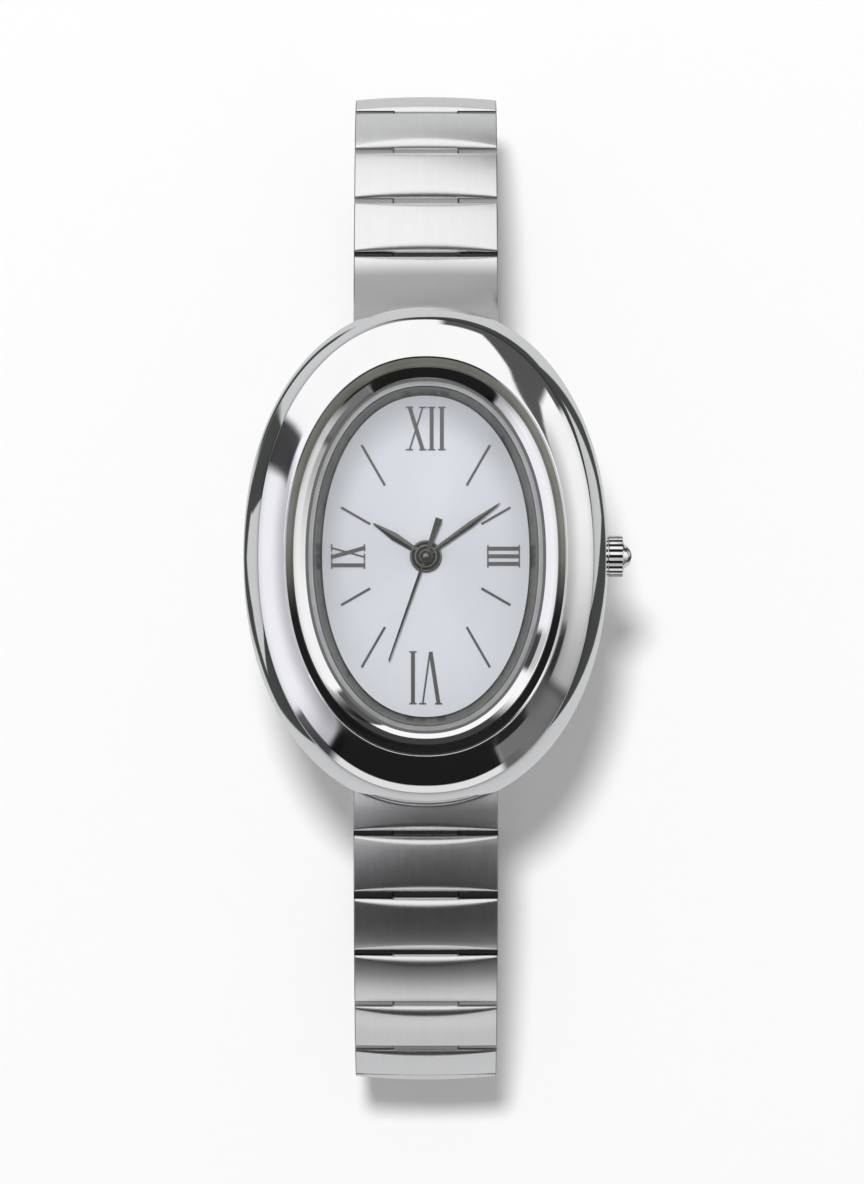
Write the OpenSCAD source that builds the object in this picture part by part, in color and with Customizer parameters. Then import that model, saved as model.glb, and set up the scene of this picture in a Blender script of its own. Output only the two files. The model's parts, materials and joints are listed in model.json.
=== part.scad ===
// Oval dress watch on a folding-clasp link bracelet, with its quartz movement inside.
// Frame: X runs from 9 to 3 o'clock, Y from 6 to 12 o'clock and Z up out of the dial.
// The origin lies on the hands' axis, on the surface that the closed watch stands on.

/* [Watch head] */
// Width of the case, from 9 to 3 o'clock
case_w = 25; // [24.6:0.1:27]
// Length of the case, from 12 to 6 o'clock
case_l = 34.4; // [34:0.1:37]
// Height of the bezel's crest over the back cover
case_h = 8; // [7.8:0.1:9]
// Power of the outline: 2 is an ellipse, and more is squarer
outline_power = 2.15; // [2.05:0.05:2.4]
// Width of the broad domed bezel at 3 and 9 o'clock
bezel_w = 3.2; // [3:0.1:3.4]
// Width of the broad domed bezel at 12 and 6 o'clock
bezel_end_w = 4; // [3.8:0.1:4.2]
// Width of the narrow inner ring of the bezel
inner_ring_w = 1.1; // [1:0.05:1.2]
// Thickness of the crystal
crystal_t = 1.1; // [0.8:0.1:1.2]
// Thickness of the dial
dial_t = 0.4; // [0.3:0.05:0.5]
// Thickness of the back cover's plate
back_t = 0.5; // [0.4:0.05:0.6]
// Visible width of the sloped ring round the dial
rehaut_w = 0.6; // [0.5:0.05:0.7]

/* [Hands] */
// Length of the hour hand
hour_len = 4.3; // [3.8:0.05:4.6]
// Length of the minute hand
minute_len = 6.3; // [5.5:0.05:6.6]
// Length of the second hand
second_len = 7.58; // [7:0.02:7.6]
// Length of the second hand's tail
tail_len = 2.75; // [2.2:0.05:3]
// Clock angle of the hour hand, from 12 o'clock
hour_angle = 302; // [0:0.5:360]
// Clock angle of the minute hand
minute_angle = 54.4; // [0:0.1:360]
// Clock angle of the second hand
second_angle = 199.5; // [0:0.5:360]

/* [Crown] */
// Diameter over the crown's flutes
crown_d = 2.82; // [2.4:0.02:3.2]
// Length of the fluted part
crown_len = 1; // [0.8:0.05:1.4]
// Diameter of the domed end
crown_dome_d = 1.84; // [1.4:0.02:2.2]
// Number of flutes
crown_flutes = 22; // [16:2:30]
// How far the crown pulls out to set the hands
crown_pull = 0.6; // [0.4:0.05:0.7]

/* [Bracelet] */
// Width of the bracelet
band_w = 10; // [9.4:0.1:10.4]
// Distance from one hinge pin to the next
link_pitch = 4.3; // [4.2:0.05:4.5]
// Height of a link's top over its hinge pins
link_rise = 1.35; // [1.25:0.05:1.45]
// Depth of a link's underside below its hinge pins
link_drop = 0.75; // [0.7:0.05:0.85]
// Seam between the plates of two straight links
seam = 0.24; // [0.2:0.02:0.3]
// Height of a link's crown over its side edges
link_crown = 0.26; // [0.15:0.01:0.3]
// Diameter of a hinge pin
pin_d = 0.7; // [0.6:0.05:0.8]
// Width of a link's middle tongue
tongue_w = 4.4; // [3.6:0.1:5]
// Length of the end piece at 12 o'clock
end_12_len = 6.5; // [6.2:0.05:7]
// Length of the end piece at 6 o'clock
end_6_len = 4.5; // [4.4:0.05:4.9]
// Height of the spring bars over the pins that the clasp hangs on
loop_drop = 28.4; // [27:0.1:29.5]

/* [Folding clasp] */
// Thickness of the cover's plate
cover_t = 0.5; // [0.4:0.05:0.5]
// Thickness of each folding blade
blade_t = 0.6; // [0.5:0.05:0.6]
// Thickness of the cover's side walls
skirt_t = 0.6; // [0.5:0.05:0.7]

/* [Hidden] */
$fn = 48;
eps = 0.01;
over = 1;
run_fit = 0.03;
press_fit = 0.01;
seat_play = 0.02;
slip = 0.12;
oval_sides = 72;

// Train: distances between arbors, tooth counts and what they make
third_far = 2.6;
rotor_far = 1.89;
fifth_far = 2.4;
works_far = 2.3;
rotor_teeth = 6;
fifth_teeth = 36;
small_teeth = 8;
second_teeth = 40;
third_teeth = 60;
centre_teeth = 64;
cannon_teeth = 12;
minute_teeth = 36;
minute_small = 10;
hour_teeth = 40;
setting_teeth = 16;
tooth_top = 0.85;
tooth_root = 1.15;
function module_of(far, n, m) = 2 * far / (n + m);
function tip_r(n, m) = m * (n / 2 + tooth_top);
drive_m = module_of(rotor_far, rotor_teeth, fifth_teeth);
fifth_m = module_of(fifth_far, small_teeth, second_teeth);
third_m = module_of(third_far, small_teeth, third_teeth);
centre_m = module_of(third_far, small_teeth, centre_teeth);
works_m = module_of(works_far, cannon_teeth, minute_teeth);
hour_m = module_of(works_far, minute_small, hour_teeth);
centre = [0, 0];
third_at = third_far * [cos(45), sin(45)];
minute_at = works_far * [cos(-35), sin(-35)];
setting_far = works_m * (minute_teeth + setting_teeth) / 2;
setting_at = [minute_at[0] + sqrt(setting_far * setting_far - minute_at[1] * minute_at[1]), 0];
rotor_at = [-2, -3.7];
// Point that lies far_p from p and far_q from q
function meet(p, q, far_p, far_q) =
    let (d = norm(q - p), along = (far_p * far_p - far_q * far_q + d * d) / (2 * d))
    let (off = sqrt(far_p * far_p - along * along), u = (q - p) / d)
    p + along * u + off * [u[1], -u[0]];
fifth_at = meet(rotor_at, centre, rotor_far, fifth_far);

// Battery beside the centre wheel, and the plates that hold both
battery_d = 5.8;
battery_t = 2.15;
battery_step = 0.5;
battery_rim = 0.35;
battery_play = 0.1;
battery_gap = 0.29;
battery_way = 127.7;
battery_far = tip_r(centre_teeth, centre_m) + battery_gap + battery_d / 2;
battery_at = battery_far * [cos(battery_way), sin(battery_way)];
plate_rim = 0.44;
plate_side = 1.35;
movement_l = 2 * (battery_far + battery_d / 2 + plate_rim);
movement_w = 2 * (battery_d / 2 - battery_at[0] + plate_side);

// Ovals of the case, as half widths and half lengths
case_a = case_w / 2;
case_b = case_l / 2;
lip_a = case_a - bezel_w;
lip_b = case_b - bezel_end_w;
bore_a = lip_a - inner_ring_w;
bore_b = lip_b - inner_ring_w;
gasket_w = 0.2;
gasket_t = 0.25;
crystal_a = bore_a - gasket_w;
crystal_b = bore_b - gasket_w;
crystal_bevel = 0.3;
crystal_bevel_h = 0.15;
window_a = crystal_a - crystal_bevel;
window_b = crystal_b - crystal_bevel;
face_a = window_a - rehaut_w;
face_b = window_b - rehaut_w;
rehaut_lip = 0.06;
rehaut_rise = 0.75;
ring_side = 0.95;
ring_end = 2.7;
cavity_a = movement_w / 2 + ring_side;
cavity_b = movement_l / 2 + ring_end;
back_step = 0.7;
back_a = cavity_a + back_step;
back_b = cavity_b + back_step;
flange_w = 0.5;
flange_play = 0.04;
ring_play = 0.05;

// Heights in the watch head, over the outside of its back cover
foot_z = 0.1;
widest_z = 4.4;
ledge_z = 4.35;
hand_room = 1.6;
dial_top = ledge_z;
dial_under = dial_top - dial_t;
dial_gap = 0.1;
crystal_under = dial_top + hand_room;
crystal_top = crystal_under + crystal_t;
dome_inset = 2.5;
foot_inset = 1.7;
lip_drop = 0.2;
step_drop = 0.6;

// Band ends and spring bars
bar_inset = 2.75;
bar_y = case_b - bar_inset;
bar_z = 1.8;
bar_d = 1.2;
tip_d = 0.7;
tip_len = 0.7;
bar_play = 0.05;
bar_half = band_w / 2 + bar_play + tip_len;
tip_spare = 0.25;
barrel_r = 0.95;
pocket_play = 0.1;
pocket_room = 0.2;
pocket_top = bar_z + link_rise + pocket_room;
pocket_in = barrel_r + pocket_room;

// Links
knuckle_r = link_drop;
plate_under = knuckle_r + slip;
bevel_w = 0.5;
bevel_h = 0.3;
neck_len = 1.2;
root_len = 1.2;
root_in = 0.3;
root_drop = 0.05;
pin_short = 0.15;
pin_len = band_w - 2 * pin_short;
end_tilt_12 = 20;
end_tilt_6 = 8;
// Slope of each link below the level, from the case to the clasp, before the loop is closed
slopes_12 = [28, 35, 49.5, 75.8, 100, 120, 138, 152, 165, 174];
slopes_6 = [9.8, 24, 33, 43, 62, 90, 112, 130, 146, 160, 172];
set_12 = 4;
set_6 = 5;
links_12 = len(slopes_12);
links_6 = len(slopes_6);
function total(v, i = 0) = i < len(v) ? v[i] + total(v, i + 1) : 0;
function leant(slopes, kept, lean) = [for (i = [0 : len(slopes) - 1]) slopes[i] + (i < kept ? 0 : lean)];
function fall(slopes) = link_pitch * total([for (s = slopes) sin(s)]);
function closing_lean(slopes, kept, goal, low = -14, high = 14, steps = 30) =
    let (middle = (low + high) / 2)
    steps == 0 ? middle
    : fall(leant(slopes, kept, middle)) > goal
        ? closing_lean(slopes, kept, goal, middle, high, steps - 1)
        : closing_lean(slopes, kept, goal, low, middle, steps - 1);
goal_12 = loop_drop - end_12_len * sin(end_tilt_12);
goal_6 = loop_drop - end_6_len * sin(end_tilt_6);
tilts_12 = concat([end_tilt_12], leant(slopes_12, set_12, closing_lean(slopes_12, set_12, goal_12)));
tilts_6 = concat([end_tilt_6], leant(slopes_6, set_6, closing_lean(slopes_6, set_6, goal_6)));
function reach(tilts, first_len, k) =
    k == 0 ? [bar_y, 0]
    : reach(tilts, first_len, k - 1)
        + (k == 1 ? first_len : link_pitch) * [cos(tilts[k - 1]), -sin(tilts[k - 1])];

// Clasp, in the plane across the bracelet's hinges
hook_z = 1.65;
hook_12 = reach(tilts_12, end_12_len, links_12 + 1)[0];
hook_6 = -reach(tilts_6, end_6_len, links_6 + 1)[0];
blade_gap = 0.15;
hook_r = 0.85;
fold_r = 0.9;
cover_pin_r = 0.6;
cover_sink = 0.1;
hook_wall = 0.6;
fold_root = 1.5;
cover_root = 1;
blade_play = 0.1;
fold_in = 2.3;
cover_in = 2.4;
outer_low = cover_t + blade_gap;
outer_high = outer_low + blade_t;
inner_low = 1.85;
inner_high = inner_low + blade_t;
fold_at = [hook_6 + fold_in, (outer_low + inner_high) / 2];
cover_at = [hook_12 - cover_in, outer_low + cover_pin_r - cover_sink];
blade_half = band_w / 2 - skirt_t - blade_play;
cover_r = 0.8;
butt_gap = 0.35;

// The closed watch stands on the clasp, so the head is this far up
head_z = loop_drop + hook_z - bar_z;

// Movement: heights in the watch head and places round the hands' axis
plate_low = 2.45;
plate_high = dial_under - dial_gap;
works_low = 2.95;
bridge_low = 0.95;
bridge_t = 0.4;
bridge_in = 0.4;
flange_top = bridge_low + 0.2;
ring_low = flange_top + ring_play;
recess_play = 0.05;
plan_play = 0.04;
foot_r = 0.2;
foot_len = 0.5;
feet_at = [[-4.6, -6.4], [5.4, 4.2]];
hole_play = 0.03;
pivot_r = 0.1;
arbor_r = 0.18;
shake = 0.05;
post_r = 0.15;
wheel_t = 0.12;
second_z = 1.45;
third_z = 1.7;
centre_z = 2.05;
fifth_z = 1.75;
minute_z = 3;
hour_z = 3.32;
second_pinion_t = 0.36;
small_t = 0.4;
cannon_t = 0.2;
second_arbor_r = 0.14;
cannon_in = 0.2;
cannon_out = 0.42;
hour_in = 0.5;
hour_out = 0.7;
stator_z = 2;
stator_t = 0.35;
stator_w = 1.6;
stator_arm = 1.2;
magnet_r = 0.6;
magnet_play = 0.12;
core_t = 0.45;
core_w = 0.7;
coil_d = 1.3;
coil_y = -6.2;
coil_half = 3.6;
coil_gap = 0.25;
core_half = 4.9;
coil_play = 0.15;
screw_d = 0.7;
thread_in = 0.1;
screw_len = 0.55;
screw_head_d = 1.1;
screw_head_t = 0.22;
slot_w = 0.16;
slot_t = 0.1;
clamp_way = 17;
clamp_w = 1.4;
clamp_t = 0.14;
clamp_in = 1.5;
clamp_far = battery_d / 2 + screw_head_d / 2;
screw_at = [[-4.3, coil_y], [4.3, coil_y], [-6, -1.2], [4.6, 3.3],
            battery_at + clamp_far * [cos(clamp_way), sin(clamp_way)]];
board_gap = 0.7;
board_low = [0.9, third_at[1] + tip_r(third_teeth, third_m) + board_gap];
board_size = [4.2, 2.3];
board_t = 0.2;
board_play = 0.2;
chip_at = [0.3, 0.2];
chip_size = [1.2, 0.7, 0.5];
can_r = 0.6;
can_at = [0.3, 1.65];
can_len = 3.7;

// Crown, its stem and what the stem works
stem_z = 2.3;
stem_r = 0.45;
stem_play = 0.05;
core_r = 0.35;
neck_r = 0.75;
neck_in = case_a - 1.9;
crown_bore_r = 0.8;
crown_gap = 0.06;
crown_x = case_a + crown_gap;
flute_h = 0.12;
dome_sink = 0.3;
seal_x = case_a - 1.1;
seal_r = 0.16;
lever_x = 6.9;
lever_at = [6.2, -2.2];
lever_low = 1.55;
lever_t = 0.18;
lever_w = 0.5;
lever_hub_r = 0.5;
lever_post_r = 0.25;
lever_pin_r = 0.1;
lever_pin_top = 2.02;
groove_w = 0.28;
groove_r = 0.24;
post_x = setting_at[0] + 0.3;
post_t = 0.45;
post_w = 1;
stem_tip_r = 0.28;
stem_in = post_x - 0.6;
square_w = 0.6;
square_play = 0.02;
square_end = lever_x - 0.55;
pinion_x = setting_at[0] + 1.1;
pinion_len = 0.9;
pinion_r = 0.85;
pinion_hub_r = 0.62;
pinion_ring = 0.3;
pinion_room = 0.1;
pinion_tooth_h = 0.15;
pinion_tooth_w = 0.16;
pinion_root_r = 0.55;
pinion_step = 30;

// Hands
hour_hand_z = 4.72;
minute_hand_z = 5;
second_hand_z = 5.26;
hand_t = 0.1;
hour_hub_r = 1.1;
minute_hub_r = 0.72;
second_hub_r = 0.32;
second_hub_t = 0.12;
sleeve_w = 0.12;
hour_sleeve = 0.15;
short_sleeve = 0.1;
// Width of a leaf at its root, at its broadest and near its tip
hour_leaf = [0.3, 0.56, 0.14];
minute_leaf = [0.26, 0.42, 0.12];
needle_w = 0.22;
needle_tip_w = 0.1;
tail_w = 0.5;
dial_hole = 0.15;

// Dial markers: each numeral's gap to the ring and its height
mark_t = 0.08;
mark_w = 0.17;
stem_w = 0.27;
hair_w = 0.12;
serif_w = 0.5;
serif_t = 0.1;
numeral_12 = [0.75, 3];
numeral_3 = [0.65, 2.25];
numeral_6 = [0.85, 3.65];
numeral_9 = [0.6, 2.35];
// Each line's clock angle, gap to the ring and length
hour_marks = [[30, 0.9, 3.2], [60, 1.08, 2.3], [120, 1.08, 2.3], [150, 0.9, 3.2],
              [210, 0.9, 3.2], [240, 1.08, 2.3], [300, 1.08, 2.3], [330, 0.9, 3.2]];
// Distance from the hands to the ring along a clock angle
function face_r(angle) =
    pow(pow(abs(sin(angle)) / face_a, outline_power) + pow(abs(cos(angle)) / face_b, outline_power),
        -1 / outline_power);

// Outlines and common shapes
function power_of(v) = sign(v) * pow(abs(v), 2 / outline_power);
function oval(a, b) =
    [for (i = [0 : oval_sides - 1])
        let (t = 360 * i / oval_sides) [a * power_of(cos(t)), b * power_of(sin(t))]];
module oval_plate(a, b, low, high)
    translate([0, 0, low]) linear_extrude(high - low) polygon(oval(a, b));
module oval_ring(a, b, width, low, high)
    difference() {
        oval_plate(a, b, low, high);
        oval_plate(a - width, b - width, low - over, high + over);
    }
// Solid through ovals given as half width, half length and height
module oval_loft(rings) {
    n = oval_sides;
    last = (len(rings) - 1) * n;
    points = [for (r = rings) for (p = oval(r[0], r[1])) [p[0], p[1], r[2]]];
    sides = [for (k = [0 : len(rings) - 2]) for (i = [0 : n - 1])
        let (a = k * n + i, b = k * n + (i + 1) % n)
        each [[a, a + n, b + n], [a, b + n, b]]];
    polyhedron(points, concat([[for (i = [0 : n - 1]) i]], sides, [[for (i = [n - 1 : -1 : 0]) last + i]]));
}
module rod_x(r, x0, x1, y = 0, z = 0)
    translate([x0, y, z]) rotate([0, 90, 0]) cylinder(r = r, h = x1 - x0);
module rod_z(r, low, high, at = [0, 0])
    translate([at[0], at[1], low]) cylinder(r = r, h = high - low);
module tube_z(r_out, r_in, low, high, at = [0, 0])
    difference() {
        rod_z(r_out, low, high, at);
        rod_z(r_in, low - over, high + over, at);
    }
// Profile given as y and z, drawn out both ways along x
module along_x(width) rotate([90, 0, 90]) linear_extrude(width, center = true) children();
module block(x0, x1, y0, y1, z0, z1) translate([x0, y0, z0]) cube([x1 - x0, y1 - y0, z1 - z0]);
module at_head() translate([0, 0, head_z]) children();

// Watch head
dome = [for (t = [0 : 15 : 90]) [dome_inset * (1 - cos(t)), widest_z + (case_h - widest_z) * sin(t)]];
foot = [for (t = [90 : -22.5 : 22.5]) [foot_inset * (1 - cos(t)), widest_z - (widest_z - foot_z) * sin(t)]];
module case_shell()
    oval_loft(concat(
        [for (p = foot) [case_a - p[0], case_b - p[0], p[1]]],
        [for (p = dome) [case_a - p[0], case_b - p[0] * bezel_end_w / bezel_w, p[1]]],
        [[lip_a, lip_b, case_h - lip_drop], [lip_a - eps, lip_b - eps, case_h - step_drop],
         [bore_a, bore_b, crystal_top]]));
module band_pocket(side)
    mirror([0, side < 0 ? 1 : 0, 0])
        block(-band_w / 2 - pocket_play, band_w / 2 + pocket_play,
              bar_y - pocket_in, case_b + over, -over, pocket_top);
module case_body() color("silver") at_head() difference() {
    case_shell();
    oval_plate(bore_a, bore_b, ledge_z, case_h + over);
    oval_plate(cavity_a, cavity_b, -over, ledge_z + eps);
    oval_plate(back_a, back_b, -over, back_t + gasket_t);
    for (side = [-1, 1]) {
        band_pocket(side);
        rod_x(tip_d / 2 + run_fit, -bar_half - tip_spare, bar_half + tip_spare, side * bar_y, bar_z);
    }
    rod_x(crown_bore_r, cavity_a - over, case_a + over, 0, stem_z);
}
module case_back() color("gainsboro") at_head() {
    oval_plate(back_a - seat_play, back_b - seat_play, 0, back_t);
    oval_ring(cavity_a - flange_play, cavity_b - flange_play, flange_w, back_t - eps, flange_top);
}
module back_gasket() color("dimgray") at_head()
    oval_ring(back_a - flange_play, back_b - flange_play, back_step - 2 * flange_play, back_t, back_t + gasket_t);
module crystal() color("lightcyan", 0.4) at_head()
    oval_loft([[crystal_a, crystal_b, crystal_under], [crystal_a, crystal_b, crystal_top - crystal_bevel_h],
               [window_a, window_b, crystal_top]]);
module crystal_gasket() color("white") at_head()
    oval_ring(bore_a, bore_b, gasket_w, crystal_under, crystal_top - crystal_bevel_h);
module rehaut_ring() color("dimgray") at_head() difference() {
    oval_plate(bore_a, bore_b, dial_top, crystal_under);
    oval_loft([[face_a, face_b, dial_top - eps],
               [window_a - rehaut_lip, window_b - rehaut_lip, dial_top + rehaut_rise],
               [window_a, window_b, crystal_under + eps]]);
}
module dial() color("lavender") at_head() {
    difference() {
        oval_plate(cavity_a - ring_play, cavity_b - ring_play, dial_under, dial_top);
        rod_z(hour_out + dial_hole, dial_under - over, dial_top + over);
    }
    for (p = feet_at) rod_z(foot_r, plate_high - foot_len, dial_under + eps, p);
}

// Dial markers: thin strokes, and numerals with their feet towards the hands
module stroke(p, q, width) {
    u = (q - p) / norm(q - p);
    v = [-u[1], u[0]] * width / 2;
    polygon([p + v, p - v, q - v, q + v]);
}
module serifs(x, h, width = serif_w)
    for (y = [serif_t / 2, h - serif_t / 2])
        translate([x - width / 2, y - serif_t / 2]) square([width, serif_t]);
module roman_one(x, h) {
    translate([x - stem_w / 2, 0]) square([stem_w, h]);
    serifs(x, h);
}
module roman_ten(x, h, w) {
    stroke([x - w / 2 + serif_w / 2, h], [x + w / 2 - serif_w / 2, 0], stem_w);
    stroke([x + w / 2 - serif_w / 2, h], [x - w / 2 + serif_w / 2, 0], hair_w);
    for (side = [-1, 1]) serifs(x + side * (w / 2 - serif_w / 2), h);
}
module roman_five(x, h, w) {
    stroke([x - w / 2 + serif_w / 2, h], [x, 0.05], stem_w);
    stroke([x + w / 2 - serif_w / 2, h], [x + 0.05, 0.05], hair_w);
    for (side = [-1, 1])
        translate([x + side * (w / 2 - serif_w / 2) - serif_w / 2, h - serif_t]) square([serif_w, serif_t]);
}
module facing(angle, numeral) rotate(-angle) translate([0, face_r(angle) - numeral[0] - numeral[1]]) children();
module dial_markers() color("dimgray") at_head()
    translate([0, 0, dial_top]) linear_extrude(mark_t) {
        for (m = hour_marks)
            facing(m[0], [m[1], m[2]]) translate([-mark_w / 2, 0]) square([mark_w, m[2]]);
        facing(0, numeral_12) {
            roman_ten(-0.66, numeral_12[1], 1.42);
            roman_one(0.4, numeral_12[1]);
            roman_one(1.1, numeral_12[1]);
        }
        facing(90, numeral_3)
            for (x = [-0.52, 0, 0.52]) roman_one(x, numeral_3[1]);
        facing(180, numeral_6) {
            roman_five(-0.33, numeral_6[1], 1.6);
            roman_one(0.88, numeral_6[1]);
        }
        facing(270, numeral_9) {
            roman_one(-0.62, numeral_9[1]);
            roman_ten(0.26, numeral_9[1], 1.16);
        }
    }

// Hands, each pointing along y before it is set to its clock angle
module leaf(length, widths)
    polygon([[-widths[0] / 2, 0], [widths[0] / 2, 0], [widths[1] / 2, length * 0.6],
             [widths[2] / 2, length * 0.96], [0, length], [-widths[2] / 2, length * 0.96],
             [-widths[1] / 2, length * 0.6]]);
module tapered(length, root_w, tip_w)
    polygon([[-root_w / 2, 0], [root_w / 2, 0], [tip_w / 2, length], [-tip_w / 2, length]]);
// Hand of one thickness on a round hub, with a sleeve under it
module hand(angle, z, hub_r, bore_r, sleeve)
    difference() {
        union() {
            translate([0, 0, z]) linear_extrude(hand_t) rotate(-angle) children();
            rod_z(hub_r, z, z + hand_t);
            rod_z(bore_r + sleeve_w, z - sleeve, z + hand_t);
        }
        rod_z(bore_r, z - over, z + over);
    }
module hour_hand() color("slategray") at_head()
    hand(hour_angle, hour_hand_z, hour_hub_r, hour_out, hour_sleeve) leaf(hour_len, hour_leaf);
module minute_hand() color("slategray") at_head()
    hand(minute_angle, minute_hand_z, minute_hub_r, cannon_out, short_sleeve) leaf(minute_len, minute_leaf);
module second_hand() color("slategray") at_head() difference() {
    union() {
        translate([0, 0, second_hand_z]) linear_extrude(hand_t) rotate(-second_angle) {
            tapered(second_len, needle_w, needle_tip_w);
            rotate(180) tapered(tail_len, needle_w, tail_w);
        }
        rod_z(second_hub_r, second_hand_z - short_sleeve, second_hand_z + hand_t + second_hub_t);
    }
    rod_z(second_arbor_r, second_hand_z - over, second_hand_z + hand_t);
}

// Crown and stem
module crown() color("silver") at_head() difference() {
    union() {
        translate([crown_x, 0, stem_z]) rotate([0, 90, 0])
            linear_extrude(crown_len) polygon([for (i = [0 : 4 * crown_flutes - 1])
                let (t = 360 * i / (4 * crown_flutes), r = crown_d / 2 - (i % 4 < 2 ? 0 : flute_h))
                r * [cos(t), sin(t)]]);
        translate([crown_x + crown_len, 0, stem_z]) rotate([0, 90, 0]) rotate_extrude()
            intersection() {
                translate([0, -dome_sink]) circle(crown_dome_d / 2);
                square([crown_d, crown_d]);
            }
        rod_x(neck_r, neck_in, crown_x + eps, 0, stem_z);
    }
    difference() {
        rod_x(neck_r + over, seal_x - seal_r - seat_play, seal_x + seal_r + seat_play, 0, stem_z);
        rod_x(crown_bore_r - 2 * seal_r - seat_play, seal_x - over, seal_x + over, 0, stem_z);
    }
    rod_x(core_r, neck_in - over, crown_x, 0, stem_z);
}
module crown_seal() color("black") at_head()
    translate([seal_x, 0, stem_z]) rotate([0, 90, 0]) rotate_extrude()
        translate([crown_bore_r - seal_r - press_fit, 0]) circle(seal_r, $fn = 24);
module crown_stem() color("lightsteelblue") at_head() difference() {
    union() {
        rod_x(core_r, neck_in, crown_x - stem_play, 0, stem_z);
        rod_x(stem_r, square_end - stem_play, neck_in, 0, stem_z);
        block(post_x + post_t + stem_play, square_end, -square_w / 2, square_w / 2,
              stem_z - square_w / 2, stem_z + square_w / 2);
        rod_x(stem_tip_r, stem_in, post_x + post_t + 2 * stem_play, 0, stem_z);
    }
    difference() {
        rod_x(stem_r + over, lever_x - groove_w / 2, lever_x + groove_w / 2, 0, stem_z);
        rod_x(groove_r, lever_x - over, lever_x + over, 0, stem_z);
    }
}
module sliding_pinion() color("steelblue") at_head() {
    hole_w = square_w + 2 * square_play;
    difference() {
        union() {
            rod_x(pinion_r, pinion_x, pinion_x + pinion_ring, 0, stem_z);
            rod_x(pinion_hub_r, pinion_x, pinion_x + pinion_len, 0, stem_z);
        }
        block(pinion_x - over, pinion_x + pinion_len + over, -hole_w / 2, hole_w / 2,
              stem_z - hole_w / 2, stem_z + hole_w / 2);
        for (t = [0 : pinion_step : 360 - pinion_step])
            translate([0, 0, stem_z]) rotate([t, 0, 0])
                block(pinion_x - over, pinion_x + pinion_tooth_h, -pinion_tooth_w / 2, pinion_tooth_w / 2,
                      pinion_root_r, pinion_r + over);
    }
}
module setting_lever() color("goldenrod") at_head() {
    reach_v = [lever_x, 0] - lever_at;
    far = norm(reach_v);
    translate([lever_at[0], lever_at[1], 0]) rotate(atan2(reach_v[1], reach_v[0])) difference() {
        union() {
            block(0, far, -lever_w / 2, lever_w / 2, lever_low, lever_low + lever_t);
            rod_z(lever_hub_r, lever_low, lever_low + lever_t);
            rod_z(lever_w / 2, lever_low, lever_low + lever_t, [far, 0]);
            rod_z(lever_pin_r, lever_low + eps, lever_pin_top, [far, 0]);
        }
        rod_z(lever_post_r + hole_play, lever_low - over, lever_low + over);
    }
}

// Movement
module movement_outline(inset = 0)
    intersection() {
        circle(movement_l / 2 - inset, $fn = 96);
        square([movement_w - 2 * inset, movement_l], center = true);
    }
module movement_ring() color("whitesmoke") at_head() difference() {
    oval_plate(cavity_a - ring_play, cavity_b - ring_play, ring_low, plate_high);
    translate([0, 0, -over]) linear_extrude(case_h) movement_outline(-plan_play);
    block(movement_w / 2 - over, case_a, -neck_r, neck_r, 0, stem_z + neck_r);
}
module main_plate() color("khaki") at_head() {
    half = stem_r + stem_play;
    room = pinion_r + stem_play;
    difference() {
        translate([0, 0, plate_low]) linear_extrude(plate_high - plate_low) movement_outline();
        rod_z(battery_d / 2 + battery_play, 0, bridge_low + battery_t + shake, battery_at);
        rod_z(tip_r(hour_teeth, hour_m) + recess_play, works_low, case_h);
        rod_z(tip_r(minute_teeth, works_m) + recess_play, works_low, case_h, minute_at);
        rod_z(tip_r(setting_teeth, works_m) + recess_play, works_low, case_h, setting_at);
        rod_z(cannon_out + hole_play, 0, case_h);
        block(post_x + post_t, movement_w, -half, half, 0, stem_z + half);
        rod_x(stem_tip_r + hole_play, stem_in - pinion_room, post_x + over, 0, stem_z);
        block(stem_in - pinion_room, post_x, -core_r, core_r, 0, stem_z + core_r);
        block(pinion_x - crown_pull + pinion_room, pinion_x + pinion_len + pinion_room, -room, room, 0, stem_z + room);
        for (p = [third_at, fifth_at, rotor_at]) rod_z(pivot_r + hole_play, 0, works_low - shake, p);
        for (p = feet_at) rod_z(foot_r + seat_play, plate_high - foot_len - shake, case_h, p);
        for (p = screw_at) rod_z(screw_d / 2 - thread_in, 0, plate_low + screw_len + shake, p);
    }
    difference() {
        block(post_x, post_x + post_t, -post_w / 2, post_w / 2, stem_z - stem_r, plate_low + eps);
        rod_x(stem_tip_r + hole_play, 0, post_x + over, 0, stem_z);
    }
    rod_z(post_r, works_low, minute_z + wheel_t + small_t, minute_at);
    rod_z(post_r, works_low, minute_z + wheel_t + shake, setting_at);
    rod_z(lever_post_r, bridge_low + bridge_t, plate_low + eps, lever_at);
}
module train_bridge() color("gold") at_head() difference() {
    translate([0, 0, bridge_low]) linear_extrude(bridge_t) movement_outline(bridge_in);
    rod_z(battery_d / 2 + coil_play, 0, plate_low, battery_at);
    block(-movement_w, movement_w, -movement_l, coil_y + coil_d / 2 + coil_play, 0, plate_low);
    block(board_low[0] - board_play, movement_w, board_low[1] - board_play, movement_l, 0, plate_low);
    for (p = [third_at, fifth_at, rotor_at, centre]) rod_z(pivot_r + hole_play, 0, plate_low, p);
    for (p = screw_at) rod_z(screw_d / 2 - thread_in + seat_play, 0, plate_low, p);
}
module bridge_screws() color("lightslategray") at_head()
    for (i = [0 : len(screw_at) - 1]) {
        under = i < 2 ? stator_z - core_t : bridge_low;
        difference() {
            union() {
                rod_z(screw_head_d / 2, under - screw_head_t, under, screw_at[i]);
                rod_z(screw_d / 2 - thread_in - seat_play, under - eps, plate_low + screw_len, screw_at[i]);
            }
            translate([screw_at[i][0], screw_at[i][1], under - screw_head_t])
                cube([2 * screw_head_d, slot_w, 2 * slot_t], center = true);
        }
    }
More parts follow.
